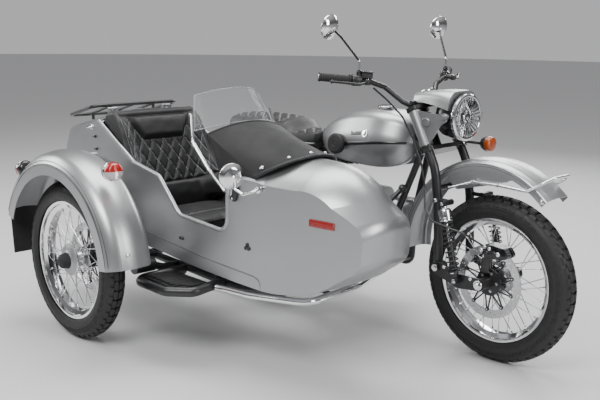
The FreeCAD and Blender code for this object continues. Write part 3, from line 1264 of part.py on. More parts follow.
BODIES = {
    "chassis": {
        "frame": frame, "engine_case": engine_case, "cylinders": cylinders, "intakes": intakes,
        "exhausts": exhausts, "final_drive": final_drive, "swingarm": swingarm, "rear_shocks": rear_shocks,
        "rear_fender": rear_fender, "tail_lamp": tail_lamp, "saddle": saddle, "fuel_tank": fuel_tank,
        "knee_pads": knee_pads, "fuel_cap": fuel_cap, "sidecar_chassis": sidecar_chassis,
        "sidecar_swing_arm": sidecar_swing_arm, "sidecar_shock": sidecar_shock, "sidecar_body": sidecar_body,
        "sidecar_cushion": sidecar_cushion, "sidecar_backrest": sidecar_backrest,
        "cockpit_apron": cockpit_apron, "windscreen": windscreen, "screen_brackets": screen_brackets,
        "sidecar_mirror": sidecar_mirror, "sidecar_fender": sidecar_fender, "fender_lamps": fender_lamps,
        "mud_flap": mud_flap, "side_step": side_step, "bumper_tube": bumper_tube,
    },
    "trunk_lid": {"trunk_lid": trunk_lid, "luggage_rack": luggage_rack},
    "fork": {
        "fork_tubes": fork_tubes, "fork_shrouds": fork_shrouds, "leading_links": leading_links,
        "front_shocks": front_shocks, "front_caliper": front_caliper, "front_fender": front_fender,
        "fender_rail": fender_rail, "headlamp_shell": headlamp_shell, "headlamp_lens": headlamp_lens,
        "nacelle": nacelle, "handlebar": handlebar, "bar_controls": bar_controls, "mirrors": mirrors,
        "front_indicator": front_indicator, "brake_hose": brake_hose,
    },
    "front_wheel": {
        "front_tyre": lambda: tyre(FRONT_X, 0),
        "front_laced_wheel": lambda: laced_wheel(FRONT_X, 0, -1, -(FORK_Y + 44), FORK_Y + 44),
    },
    "rear_wheel": {
        "rear_tyre": lambda: tyre(REAR_X, 0),
        "rear_laced_wheel": lambda: laced_wheel(REAR_X, 0, 1, -150, 150),
    },
    "side_wheel": {
        "side_tyre": lambda: tyre(0, SIDE_Y),
        "side_laced_wheel": lambda: laced_wheel(0, SIDE_Y, 1, -52, 118),
    },
}


# child body: parent body, a point on the axis and the axis, both before the final move
JOINTS = {
    "fork": {"parent": "chassis", "at": STEER_AT, "axis": STEER_AXIS, "range": (-35, 35)},
    "front_wheel": {"parent": "fork", "at": (FRONT_X, 0, AXLE_Z), "axis": (0, 1, 0), "range": None},
    "rear_wheel": {"parent": "chassis", "at": (REAR_X, 0, AXLE_Z), "axis": (0, 1, 0), "range": None},
    "side_wheel": {"parent": "chassis", "at": (0, SIDE_Y, AXLE_Z), "axis": (0, 1, 0), "range": None},
    "trunk_lid": {"parent": "chassis", "at": hinge_axis(), "axis": (0, 1, 0), "range": (0, 70)},
}


def build():
    """All nodes in the row frame, the bodies that own them, and the move that brought them there."""
    shapes = {}
    for nodes in BODIES.values():
        for name, make in nodes.items():
            shapes[name] = flat(make())
    whole = Part.makeCompound(list(shapes.values())).optimalBoundingBox()
    move = V(-(whole.XMin + whole.XMax) / 2, -(whole.YMin + whole.YMax) / 2, -whole.ZMin)
    for shape in shapes.values():
        shape.translate(move)
    return shapes, move


SHAPES, MOVE = build()

if __name__ == "__main__":
    os.makedirs("parts", exist_ok=True)
    for node, shape in SHAPES.items():
        shape.exportStep(os.path.join("parts", node + ".step"))
    print(len(SHAPES), "nodes, moved by", [round(v, 2) for v in MOVE])
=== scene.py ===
import json
import math
from itertools import product

import bmesh
import bpy
import numpy as np
from mathutils import Matrix, Vector
from mathutils.bvhtree import BVHTree


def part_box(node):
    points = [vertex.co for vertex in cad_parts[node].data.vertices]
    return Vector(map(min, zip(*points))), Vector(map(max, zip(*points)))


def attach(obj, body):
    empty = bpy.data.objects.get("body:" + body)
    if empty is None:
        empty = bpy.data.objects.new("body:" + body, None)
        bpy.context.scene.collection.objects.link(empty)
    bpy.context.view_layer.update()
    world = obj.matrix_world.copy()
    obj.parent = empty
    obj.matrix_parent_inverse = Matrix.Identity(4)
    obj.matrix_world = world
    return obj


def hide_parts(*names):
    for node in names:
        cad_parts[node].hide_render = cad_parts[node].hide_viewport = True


# Looks of the sidecar motorcycle. Sizes are in millimetres in the vehicle's own directions:
# x ahead of the sidecar's axle, y to the left of the motorcycle's middle plane, z above the ground.
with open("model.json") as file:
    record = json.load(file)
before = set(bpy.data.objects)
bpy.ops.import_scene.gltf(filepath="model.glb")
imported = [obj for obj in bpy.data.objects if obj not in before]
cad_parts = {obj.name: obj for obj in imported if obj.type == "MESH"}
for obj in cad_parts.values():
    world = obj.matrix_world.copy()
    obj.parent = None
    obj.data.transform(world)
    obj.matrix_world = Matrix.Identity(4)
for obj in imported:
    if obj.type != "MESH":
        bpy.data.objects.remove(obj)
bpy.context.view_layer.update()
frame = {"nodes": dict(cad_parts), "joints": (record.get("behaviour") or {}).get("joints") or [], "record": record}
NODES = frame["nodes"]
AXLE = {j["child"]: np.array(j["pos_m"]) for j in frame["joints"]}
ORIGIN = np.array((AXLE["side_wheel"][0], AXLE["rear_wheel"][1], 0.0))
MM = 0.001


def to_m(points):
    """Points of the shared frame, in metres, from the vehicle's millimetres."""
    return np.asarray(points) * MM + ORIGIN


def to_mm(metres):
    return (np.asarray(metres) - ORIGIN) / MM


def node_box(name):
    low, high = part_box(name)
    return to_mm(low), to_mm(high)


def add_object(name, data):
    piece = bpy.data.objects.new(name, data)
    bpy.context.scene.collection.objects.link(piece)
    return piece


# ---------------------------------------------------------------- materials
class Look:
    """One principled material whose sockets are fed by noise; more holds sockets by name, _ for a space."""

    def __init__(self, name, base, rough, metal=0.0, **more):
        self.mat = bpy.data.materials.new(name)
        self.mat.use_nodes = True
        self.tree = self.mat.node_tree
        self.shader = self.tree.nodes["Principled BSDF"]
        self.base, self.rough = base, rough
        for key, value in {"Base_Color": (*base, 1), "Roughness": rough, "Metallic": metal, **more}.items():
            self.shader.inputs[key.replace("_", " ")].default_value = value
        self.place = self.add("ShaderNodeTexCoord").outputs["Object"]

    def add(self, kind, **inputs):
        node = self.tree.nodes.new(kind)
        for key, value in inputs.items():
            node.inputs[key.replace("_", " ")].default_value = value
        return node

    def pattern(self, kind, out, settings=(), **inputs):
        node = self.add(kind, **inputs)
        for key, value in settings:
            setattr(node, key, value)
        self.tree.links.new(self.place, node.inputs["Vector"])
        return node.outputs[out]

    def noise(self, scale, detail=3.0, rough=0.5):
        return self.pattern("ShaderNodeTexNoise", "Fac", Scale=scale, Detail=detail, Roughness=rough)

    def ramp(self, source, low, high, a=0.0, b=1.0):
        """Map a source from the range low..high to a..b."""
        node = self.add("ShaderNodeMapRange", From_Min=low, From_Max=high, To_Min=a, To_Max=b)
        self.tree.links.new(source, node.inputs["Value"])
        return node.outputs["Result"]

    def roughness(self, scale, detail, least, most, high=0.7):
        """Patches that range from least to most times the material's roughness."""
        patches = self.ramp(self.noise(scale, detail), 0.3, high, self.rough * least, self.rough * most)
        self.tree.links.new(patches, self.shader.inputs["Roughness"])
        return self

    def tint(self, source, low, high, one, two):
        """Colour from one to two times the base, or between two colours, as the source goes low..high."""
        node = self.add("ShaderNodeMix")
        node.data_type = "RGBA"
        self.tree.links.new(self.ramp(source, low, high), node.inputs[0])
        for place, colour in ((6, one), (7, two)):
            colour = colour if isinstance(colour, tuple) else tuple(c * colour for c in self.base)
            node.inputs[place].default_value = (*colour, 1)
        self.tree.links.new(node.outputs[2], self.shader.inputs["Base Color"])
        return self

    def bump(self, height, depth, strength):
        node = self.add("ShaderNodeBump", Strength=strength, Distance=depth)
        self.tree.links.new(height, node.inputs["Height"])
        self.tree.links.new(node.outputs["Normal"], self.shader.inputs["Normal"])
        return self


def satin_paint(name, base):
    look = Look(name, base, 0.36, 0.88, Coat_Weight=0.18, Coat_Roughness=0.28)
    fleck = look.noise(2600, 1.0)
    look.roughness(3.5, 2.0, 0.33 / look.rough, 0.40 / look.rough).tint(fleck, 0.35, 0.65, 0.93, 1)
    return look.bump(fleck, 0.00003, 0.25).mat


def chrome_like(name, base, rough=0.06):
    return Look(name, base, rough, 1.0).roughness(14, 4.0, 0.7, 1.9, 0.75).mat


def cast_metal(name, base, rough=0.46):
    look = Look(name, base, rough, 0.85).roughness(22, 4.0, 0.85, 1.2)
    look.tint(look.noise(30, 5.0, 0.6), 0.35, 0.7, 0.86, 1)
    return look.bump(look.noise(700, 4.0, 0.65), 0.00025, 0.5).mat


def satin_black(name, base=(0.012, 0.012, 0.013), rough=0.34):
    look = Look(name, base, rough, Coat_Weight=0.2, Coat_Roughness=0.3).roughness(45, 3.0, 0.85, 1.25)
    return look.bump(look.noise(500, 2.0), 0.00005, 0.3).mat


def vinyl(name, base=(0.009, 0.009, 0.0095), rough=0.44, grain=620, shine=0.35):
    look = Look(name, base, rough, Sheen_Weight=0.03, Sheen_Roughness=0.5, Specular_IOR_Level=shine)
    cells = look.pattern("ShaderNodeTexVoronoi", "Distance", [("feature", "DISTANCE_TO_EDGE")], Scale=grain)
    look.roughness(9, 3.0, 0.85, 1.2).tint(look.noise(5), 0.35, 0.7, 1, 1.5)
    return look.bump(look.ramp(cells, 0.0, 0.22), 0.00022, 0.55).mat


def rubber(name, base=(0.016, 0.016, 0.016), rough=0.72, dust=0.0):
    look = Look(name, base, rough).roughness(60, 3.0, 0.88, 1.12)
    dusty = tuple(c + dust * d for c, d in zip(base, (0.11, 0.10, 0.085)))
    look.tint(look.noise(26, 5.0, 0.6), 0.4, 0.75, 1, dusty)
    return look.bump(look.noise(900), 0.00012, 0.5).mat


def clear_glass(name, tint):
    return Look(name, tint, 0.02, Transmission_Weight=1.0, IOR=1.45).roughness(25, 2.0, 0.6, 1.6).mat


def lens_plastic(name, colour, rough=0.12):
    look = Look(name, colour, rough, Transmission_Weight=0.55, IOR=1.49, Coat_Weight=0.5)
    flutes = look.pattern("ShaderNodeTexWave", "Fac", [("bands_direction", "Z")], Scale=55.0)
    return look.bump(flutes, 0.0012, 0.5).mat


def thread_material():
    look = Look("grey_thread", (0.42, 0.43, 0.44), 0.7)
    look.tint(look.noise(1500, 2.0), 0.35, 0.65, (0.30, 0.31, 0.32), (0.50, 0.51, 0.52))
    return look.bump(look.noise(2500, 2.0), 0.0002, 0.5).mat


PAINT = satin_paint("silver_paint", (0.40, 0.405, 0.41))
CHROME = chrome_like("chrome", (0.86, 0.86, 0.87))
STEEL = chrome_like("brushed_steel", (0.62, 0.62, 0.63), 0.22)
REFLECTOR = chrome_like("reflector", (0.90, 0.90, 0.91), 0.05)
MIRROR_FACE = chrome_like("mirror_face", (0.88, 0.89, 0.90), 0.02)
ALLOY = cast_metal("cast_alloy", (0.42, 0.42, 0.43))
BLACK = satin_black("black_enamel")
BLACK_GLOSS = satin_black("black_gloss", (0.010, 0.010, 0.011), 0.2)
SPRING_DARK = satin_black("spring_enamel", (0.016, 0.016, 0.017), 0.28)
# near-black for thin lines that paint the shade along pressed grooves and under raised pressings
GROOVE_SHADE = satin_black("groove_shadow", (0.03, 0.03, 0.032), 0.5)
PLASTIC = satin_black("moulded_plastic", (0.014, 0.014, 0.015), 0.42)
RED_BUTTON = satin_black("red_button", (0.35, 0.01, 0.008), 0.35)
LEVER = satin_black("lever_enamel", (0.013, 0.013, 0.014), 0.26)
SIGHT_GLASS = satin_black("sight_glass", (0.12, 0.09, 0.04), 0.1)
VINYL = vinyl("black_vinyl")
COVER_VINYL = vinyl("cover_vinyl", (0.0065, 0.0065, 0.007), 0.52, 900, 0.22)
PIPING = vinyl("black_piping", (0.012, 0.012, 0.013), 0.3, 900)
PALE_PIPING = vinyl("pale_piping", (0.30, 0.30, 0.31), 0.4, 900)
THREAD = thread_material()
THREAD_DARK = vinyl("dark_thread", (0.05, 0.05, 0.052), 0.6, 1500)
RUBBER = rubber("rubber")
TYRE = rubber("tyre_rubber", (0.009, 0.009, 0.009), 0.56, 0.035)
SCREEN = Look("screen_acrylic", (0.55, 0.58, 0.58), 0.05, Alpha=0.05).roughness(18, 3.0, 0.6, 1.6).mat
SCREEN_EDGE = Look("screen_edge", (0.62, 0.66, 0.66), 0.25, Transmission_Weight=0.5, IOR=1.3).roughness(
    60, 3.0, 0.8, 1.28).mat
LAMP_CLEAR = clear_glass("lamp_plastic", (0.97, 0.98, 0.98))
GLASS = clear_glass("lamp_glass", (0.98, 0.99, 0.99))
AMBER = lens_plastic("amber_lens", (0.78, 0.12, 0.006))
RED = lens_plastic("red_lens", (0.62, 0.008, 0.006))
CLEAR_LENS = lens_plastic("clear_lens", (0.86, 0.86, 0.87), 0.1)
REFLECT = lens_plastic("reflector_red", (0.5, 0.006, 0.005), 0.15)

SLOT_MATERIAL = {
    "paint_silver": PAINT, "frame_black": BLACK, "spring_black": BLACK, "engine_alloy": ALLOY,
    "chrome": CHROME, "tyre": TYRE, "rubber_black": RUBBER, "seat_vinyl": VINYL, "screen_clear": SCREEN,
    "lamp_clear": LAMP_CLEAR, "lamp_amber": AMBER, "lamp_red": RED,
}
OTHER_MATERIAL = {
    "fuel_cap": CHROME, "bumper_tube": CHROME, "fender_rail": CHROME, "screen_brackets": CHROME,
    "sidecar_mirror": CHROME, "front_caliper": BLACK_GLOSS, "tail_lamp": PLASTIC,
}
SMOOTH_UP_TO = math.radians(32)           # edges of the solids sharper than this stay sharp


def dress_solids():
    """Give each CAD node its material and smooth shading that breaks at real edges."""
    for row in frame["record"]["subparts"]:
        node = NODES[row["node"]]
        node.data.materials.clear()
        node.data.materials.append(OTHER_MATERIAL.get(row["node"], SLOT_MATERIAL[row["material_slot"]]))
        node.modifiers.new("edges", "EDGE_SPLIT").split_angle = SMOOTH_UP_TO


dress_solids()


# ---------------------------------------------------------------- forms
Y_AXIS = (0, 1, 0)


def unit(v):
    v = np.asarray(v, float)
    return v / np.linalg.norm(v)


def across(axis):
    """Two directions square to an axis and to each other."""
    axis = unit(axis)
    side = unit(np.cross(axis, (0.0, 0.0, 1.0) if abs(axis[2]) < 0.9 else (1.0, 0.0, 0.0)))
    return side, np.cross(axis, side)


def spun(centre, radius, angle, y=0.0):
    """Point beside a centre, at a radius and an angle in the vehicle's side view."""
    return np.asarray(centre, float) + np.array((radius * math.cos(angle), y, radius * math.sin(angle)))


def full_turn(count):
    return np.linspace(0, 2 * math.pi, count, endpoint=False)


def mirrored(profile):
    """Profile of (across, radius) rows from one end to the middle, carried on to the other end."""
    return profile + [(-a, r) for a, r in profile[::-1] if a]


class Form:
    """One mesh built up from simple shapes, in the vehicle's millimetres, with a material per face."""

    def __init__(self):
        self.points, self.faces, self.marks, self.mats = [], [], [], []

    def slot(self, mat):
        if mat not in self.mats:
            self.mats.append(mat)
        return self.mats.index(mat)

    def add(self, points, faces, mat):
        start = sum(len(p) for p in self.points)
        self.points.append(np.asarray(points, float).reshape(-1, 3))
        self.faces += [tuple(int(i) + start for i in f) for f in faces]
        self.marks += [self.slot(mat)] * len(faces)
        return self

    def take_mirrored(self, other):
        """Add another form's shapes, mirrored across the motorcycle's middle plane."""
        start = sum(len(p) for p in self.points)
        self.points += [p * (1, -1, 1) for p in other.points]
        self.faces += [tuple(i + start for i in face) for face in other.faces]
        self.marks += [self.slot(other.mats[m]) for m in other.marks]
        return self

    def grid(self, rows, mat, round_u=False, round_v=False):
        """Skin over rows of points; round_u closes the rows into a loop, round_v closes each row."""
        rows = np.asarray(rows, float)
        n, m = rows.shape[:2]
        faces = []
        for i, j in product(range(n if round_u else n - 1), range(m if round_v else m - 1)):
            here, ahead = i * m, (i + 1) % n * m
            faces.append((here + j, here + (j + 1) % m, ahead + (j + 1) % m, ahead + j))
        return self.add(rows, faces, mat)

    def turned(self, profile, centre, axis, mat, segments=48, closed=False):
        """Profile of (along, radius) turned about an axis; a radius of 0 makes a pole."""
        axis = unit(axis)
        side, up = across(axis)
        turn = full_turn(segments)
        ring = np.outer(np.cos(turn), side) + np.outer(np.sin(turn), up)
        return self.grid([centre + axis * a + ring * r for a, r in profile], mat, closed, True)

    def tube(self, path, radius, mat, sides=10, caps=True):
        """Round bar along a path of points; radius may be one value for each point."""
        path = np.asarray(path, float)
        radius = np.broadcast_to(radius, len(path))
        tangents = np.gradient(path, axis=0)
        tangents /= np.linalg.norm(tangents, axis=1)[:, None]
        side, _ = across(tangents[0])
        turn = full_turn(sides)
        rows = []
        for p, t, r in zip(path, tangents, radius):
            side = unit(side - t * np.dot(side, t))
            rows.append(p + r * (np.outer(np.cos(turn), side) + np.outer(np.sin(turn), np.cross(t, side))))
        if caps:
            rows = [np.repeat(path[:1], sides, 0), *rows, np.repeat(path[-1:], sides, 0)]
        return self.grid(rows, mat, round_v=True)

    def block(self, centre, size, mat, edge=1.0, axes=np.eye(3)):
        """Box with chamfered edges; axes are its three directions as rows."""
        half = np.asarray(size, float) / 2
        inner = half - min(edge, half.min() * 0.9)
        points = [np.where(np.arange(3) == k, half, inner) * s for s in product((-1, 1), repeat=3)
                  for k in range(3)]
        faces = [(3 * i, 3 * i + 1, 3 * i + 2) for i in range(8)]
        for k, u, v in ((0, 1, 2), (1, 0, 2), (2, 0, 1)):
            # corners are numbered 4x + 2y + z, and each has one point for each face that it touches
            step, over, up = 4 >> k, 4 >> u, 4 >> v
            faces += [[3 * c + k for c in (s, s + over, s + over + up, s + up)] for s in (0, step)]
            for c in (0, over, up, over + up):
                i, j = 3 * c, 3 * (c + step)
                faces.append((i + u, j + u, j + v, i + v))
        return self.add(np.array(points) @ axes + centre, faces, mat)

    def bolt(self, place, axis, radius, mat, height=None):
        """Hexagon head on a washer, pointing along axis."""
        height = height or radius * 0.75
        self.turned([(0, 0), (0, radius * 1.55), (1.2, radius * 1.5), (1.2, 0)], place, axis, mat, 18)
        return self.turned([(1, 0), (1, radius * 1.12), (1 + height * 0.8, radius * 1.12),
                            (1 + height, radius * 0.9), (1 + height, 0)], place, axis, mat, 6)

    def dome(self, place, axis, radius, height, mat, sides=20, rings=6):
        profile = [(height * math.sin(a), radius * math.cos(a)) for a in np.linspace(0, math.pi / 2, rings)]
        return self.turned([(0, 0)] + profile, place, axis, mat, sides)

    def mesh(self, name, weld):
        """Mesh of the form in metres of the frame; points nearer than weld become one."""
        mesh = bpy.data.meshes.new(name)
        mesh.from_pydata(to_m(np.vstack(self.points)), [], self.faces)
        for mat in self.mats:
            mesh.materials.append(mat)
        mesh.polygons.foreach_set("material_index", self.marks)
        work = bmesh.new()
        work.from_mesh(mesh)
        bmesh.ops.remove_doubles(work, verts=work.verts, dist=weld)
        bmesh.ops.dissolve_degenerate(work, edges=work.edges, dist=weld / 2)
        bmesh.ops.recalc_face_normals(work, faces=work.faces)
        work.to_mesh(mesh)
        work.free()
        return mesh

    def build(self, name, body, slot, smooth=38.0, replaces=()):
        return finish_piece(self.mesh(name, 2e-6), name, body, smooth, replaces)


def finish_piece(mesh, name, body, smooth, replaces):
    """Place a mesh in the scene on its body; edges sharper than smooth degrees stay sharp."""
    mesh.polygons.foreach_set("use_smooth", [True] * len(mesh.polygons))
    mesh.set_sharp_from_angle(angle=math.radians(smooth))
    piece = add_object(name, mesh)
    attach(piece, body)
    if replaces:
        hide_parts(*replaces)
    return piece


def round_path(points, radius, arc_steps=6):
    """Points along straight runs whose corners are rounded, as the bent tubes are."""
    points = [np.asarray(p, float) for p in points]
    out = [points[0]]
    for before, corner, after in zip(points, points[1:], points[2:]):
        u, w = unit(before - corner), unit(after - corner)
        half = math.acos(max(-1.0, min(1.0, float(np.dot(u, w))))) / 2
        room = 0.48 * min(np.linalg.norm(before - corner), np.linalg.norm(after - corner))
        reach = min(radius / math.tan(half), room)
        a, b = corner + u * reach, corner + w * reach
        out += [(1 - t) ** 2 * a + 2 * t * (1 - t) * corner + t * t * b for t in np.linspace(0, 1, arc_steps)]
    return np.array(out + [points[-1]])


def smooth_line(points, steps=8, closed=False):
    """Catmull-Rom line through points of any dimension."""
    p = np.asarray(points, float)
    p = np.vstack([p[-1:], p, p[:2]] if closed else [2 * p[:1] - p[1:2], p, 2 * p[-1:] - p[-2:-1]])
    out = []
    for i in range(1, len(p) - 2):
        a, b, c, d = p[i - 1:i + 3]
        for t in np.linspace(0, 1, steps, endpoint=False):
            out.append(0.5 * (2 * b + (c - a) * t + (2 * a - 5 * b + 4 * c - d) * t * t
                              + (3 * b - a - 3 * c + d) * t ** 3))
    return np.array(out if closed else out + [p[-2]])


def skin_of(piece, matrix=Matrix()):
    """Tree of a mesh's faces, for lines that meet its surface."""
    mesh = piece.data
    return BVHTree.FromPolygons([matrix @ v.co for v in mesh.vertices], [p.vertices for p in mesh.polygons])


def meet(tree, point, way):
    """Where a line from a point first meets a surface, in mm, and the surface's normal against the line."""
    spot, normal, _, _ = tree.ray_cast(Vector(to_m(point)), Vector(way).normalized())
    if spot is None:
        return None, None
    normal = np.array(normal)
    return to_mm(spot), normal if np.dot(normal, way) < 0 else -normal


# ---------------------------------------------------------------- wheels
TREAD_PITCHES = 50
TREAD_ROWS = [
    # middle on the section's length, share of the pitch, width, height, how far round in pitches, pinch
    (11.8, 0.80, 20.5, 9.3, 0.0, -0.10),
    (35.0, 0.72, 21.5, 8.8, 0.5, 0.0),
    (55.0, 0.66, 11.0, 6.6, 0.5, 0.05),
    (67.0, 0.66, 9.5, 5.2, 0.5, 0.05),
]
LUG_POWER = 0.38                          # how square a lug's outline is: 1 is an ellipse
SPOKES, SPOKE_LEAN = 40, math.radians(48)
RIM_HALF, FLANGE_R, FLANGE_Y, BARREL_R = 38.0, 62.0, 27.0, 34.0
DISC_OUTER, DISC_INNER, DISC_PLACE, DISC_HALF = 150.0, 116.0, 66.0, 2.5
DISC_BANDS = ((DISC_INNER, 124.0, 128.5), (128.5, 133.0, 137.5), (137.5, 142.0, DISC_OUTER))
DISC_CELLS, DISC_HOLE_R, DISC_ARMS = 60, 2.9, 10


def tyre(name, centre, body):
    low, high = node_box(name)
    half, top = (high[1] - low[1]) / 2, (high[2] - low[2]) / 2
    carcass = [(half - 10, top - 87), (half - 4.5, top - 76), (half - 1.4, top - 62), (half - 2.6, top - 47),
               (half - 7.5, top - 31), (half - 15, top - 21), (half - 25.5, top - 14.5),
               (half - 40, top - 10.5),
               (0, top - 9.5)]
    section = smooth_line(mirrored(carcass), 4)
    reach = np.concatenate([[0], np.cumsum(np.linalg.norm(np.diff(section, axis=0), axis=1))])

    def spot(s):
        return np.array((np.interp(s, reach, section[:, 0]), np.interp(s, reach, section[:, 1])))

    def on_carcass(u, v, height, angle):
        """Point at u mm round the tread, v mm along the section from its middle, at a height above it."""
        s = reach[-1] / 2 + v
        run, rise = spot(s + 0.5) - spot(s - 0.5)
        y, r = spot(s) + np.array((-rise, -run)) / np.hypot(run, rise) * height
        a = angle + u / top
        return np.stack([centre[0] + r * np.cos(a), centre[1] + y, centre[2] + r * np.sin(a)], -1)

    steps = full_turn(12)
    lug_u, lug_v = (np.sign(wave) * np.abs(wave) ** LUG_POWER for wave in (np.cos(steps), np.sin(steps)))
    form = Form()
    ring = full_turn(144)
    circle = np.stack([np.cos(ring), 0 * ring, np.sin(ring)], 1)
    form.grid([centre + circle * r + (0, y, 0) for y, r in [*section, (-half + 12, top - 84),
                                                            (half - 12, top - 84)]],
              TYRE, True, True)
    wall = section[::-1][:len(section) // 2]
    for side, r in product((-1, 1), (top - 47, top - 66)):
        y = np.interp(r, wall[:, 1], np.abs(wall[:, 0]))
        form.turned([(side * (y + out), r + up) for out, up in ((-1.5, -2.2), (0.7, -1.2), (0.7, 1.2),
                                                                (-1.5, 2.2))],
                    centre, Y_AXIS, TYRE, 96)
    pitch = 2 * math.pi / TREAD_PITCHES
    for i, side, (along, share, width, height, shift, pinch) in product(range(TREAD_PITCHES), (-1, 1),
                                                                        TREAD_ROWS):
        rings = []
        for inset, h in ((0.0, -1.5), (0.0, height - 1.2), (0.9, height - 0.25), (2.4, height)):
            v = lug_v * (width / 2 - inset)
            u = lug_u * (share * pitch * top / 2 - inset) * (1 - pinch * side * (v / width + 0.5))
            rings.append(on_carcass(u, side * along + v, h, (i + shift) * pitch))
        rings.append(np.repeat(rings[-1].mean(0)[None], len(steps), 0))
        form.grid(rings, TYRE, round_v=True)
    form.build(name + "_tread", body, "tyre", 40, [name])


def laced_wheel(name, centre, body, disc_side):
    low, high = node_box(name)
    top = (high[2] - low[2]) / 2
    half, f = RIM_HALF, FLANGE_Y
    form = Form()
    # rim: rolled flanges down to the well, then its underside back
    over = mirrored([(half, top - 1.5), (half - 1.2, top), (half - 3.2, top - 0.4), (half - 4.0, top - 2.5),
                     (half - 4.0, top - 9.5), (half - 16, top - 11.5), (half - 24, top - 27),
                     (0, top - 28.5)])
    under = mirrored([(half - 0.6, top - 5), (half - 0.4, top - 10), (half - 2.4, top - 13.4),
                      (half - 13.5, top - 15.5), (half - 23, top - 31.5), (0, top - 32.5)])
    form.turned(over + under[::-1], centre, Y_AXIS, CHROME, 128, closed=True)
    # hub: polished barrel between two flanges, caps, and the axle through it
    hub = [(47, 15), (47, 25), (44, 27), (34, 30), (f + 4.5, 34), (f + 4.5, FLANGE_R - 1),
           (f + 3.5, FLANGE_R),
           (f + 0.8, FLANGE_R), (f, FLANGE_R - 1), (f, 48), (f - 6, BARREL_R + 2), (f - 12, BARREL_R)]
    form.turned(mirrored(hub), centre, Y_AXIS, STEEL, 64)
    for side in (-1, 1):
        form.turned([(side * 46, 0), (side * 46, 17), (side * 49, 17), (side * 49, 0)], centre, Y_AXIS,
                    BLACK, 32)
    y0, y1 = low[1] - centre[1], high[1] - centre[1]
    form.turned([(y0, 0), (y0, 7.5), (y0 + 1.5, 9), (y1 - 1.5, 9), (y1, 7.5), (y1, 0)], centre, Y_AXIS,
                STEEL, 24)
    for i in range(SPOKES):
        side, lean = (1 if i % 2 else -1), (1 if i // 2 % 2 else -1)
        rim_angle = 2 * math.pi / SPOKES * (i + 0.5)
        root = spun(centre, FLANGE_R - 7, rim_angle + SPOKE_LEAN * lean, side * (f + 2 + 3 * lean))
        end = spun(centre, top - 31, rim_angle, side * 7)
        along = unit(end - root)
        form.tube([root, root + along * 3, end - along * 12], 1.9, STEEL, 7, caps=False)
        form.dome(root - np.array((0, side * lean * 0.5, 0)), (0, side * lean, 0), 3.6, 2.2, STEEL, 8, 3)
        form.tube([end + along * t for t in (-15, -13.5, -3, 4)], [2.2, 3.1, 3.3, 3.3], CHROME, 7)
    brake_disc(form, centre, disc_side)
    form.build(name + "_parts", body, "chrome", 36, [name])


def drilled_cell(form, middle, band, angle, hole):
    """Stretch of the disc's ring with its drilled hole, so that light passes through."""
    inner, hole_r, outer = band
    step = 2 * math.pi / DISC_CELLS
    corners = [(inner, 0.0), (inner, step), (outer, step), (outer, 0.0)]
    rim = []
    for (ra, aa), (rb, ab) in zip(corners, corners[1:] + corners[:1]):
        rim += [(ra, angle + aa), ((ra + rb) / 2, angle + (aa + ab) / 2)]
    centre = angle + step / 2
    turn = [math.atan2(r - hole_r, (a - centre) * hole_r) for r, a in rim]
    edge = [(hole_r + hole * math.sin(t), centre + hole * math.cos(t) / hole_r) for t in turn]
    rings = [[spun(middle, r, a, y) for r, a in ring]
             for ring, y in ((rim, -DISC_HALF), (edge, -DISC_HALF), (edge, DISC_HALF), (rim, DISC_HALF))]
    form.grid(rings, STEEL, round_v=True)


def brake_disc(form, centre, side):
    """Drilled ring on a black spider with its floating buttons."""
    middle = centre + np.array((0, side * DISC_PLACE, 0))
    for i, (k, band) in product(range(DISC_CELLS), enumerate(DISC_BANDS)):
        shift = 0.5 if k % 2 else 0.0
        drilled_cell(form, middle, band, 2 * math.pi / DISC_CELLS * (i + shift),
                     0.0 if (i + k) % 2 else DISC_HOLE_R)
    for r in (DISC_OUTER, DISC_INNER):
        form.turned([(-DISC_HALF, r), (DISC_HALF, r)], middle, Y_AXIS, STEEL, 120)
    for i in range(DISC_ARMS):
        a = 2 * math.pi / DISC_ARMS * (i + 0.5)
        over = np.array((-math.sin(a), 0, math.cos(a)))
        for lean in (-1, 1):
            start, end = spun(middle, 50, a) + over * lean * 13, spun(middle, 112, a) + over * lean * 3
            d = unit(end - start)
            form.block((start + end) / 2, (np.linalg.norm(end - start), 5.5, 6), BLACK, 1.2,
                       [d, Y_AXIS, np.cross(d, Y_AXIS)])
        button = spun(middle, 114, a, -5)
        form.turned([(0, 0), (0, 7.5), (1, 8), (9, 8), (10, 7.5), (10, 0)], button, Y_AXIS, BLACK, 16)
        form.turned([(-0.6, 0), (-0.6, 3.4), (10.6, 3.4), (10.6, 0)], button, Y_AXIS, STEEL, 10)
    form.turned([(-3.5, 40), (-3.5, 56), (3.5, 56), (3.5, 40)], middle, Y_AXIS, BLACK, 48, closed=True)
    outer = DISC_PLACE + 3
    form.turned([(side * a, r) for a, r in ((40, 0), (40, 46), (outer, 46), (outer, 30), (outer, 0))],
                centre, Y_AXIS, BLACK, 40)
    for i in range(5):
        form.bolt(spun(middle, 38, 2 * math.pi / 5 * i, side * 3), (0, side, 0), 4.2, STEEL)


def side_hub_cap():
    """Spun dish and rubber cap on the outer end of the sidecar wheel's hub."""
    centre = to_mm(AXLE["side_wheel"])
    centre[1] = node_box("side_laced_wheel")[0][1]
    form = Form()
    form.turned([(30, 66), (26, 68), (22, 67.5), (19, 64), (16, 50), (10, 36), (6, 33), (4, 30), (4, 0)],
                centre, Y_AXIS, ALLOY, 64)
    form.turned([(26, 68.4), (23, 70.4), (20, 69.4), (19.5, 66)], centre, Y_AXIS, STEEL, 64)
    form.turned([(9, 35), (8, 35.5), (6, 35.5), (4, 33.5), (-14, 31), (-22, 26.5), (-28, 18), (-30.5, 8),
                 (-31, 0)],
                centre, Y_AXIS, RUBBER, 56)
    form.build("side_hub_cap", "side_wheel", "rubber_black")


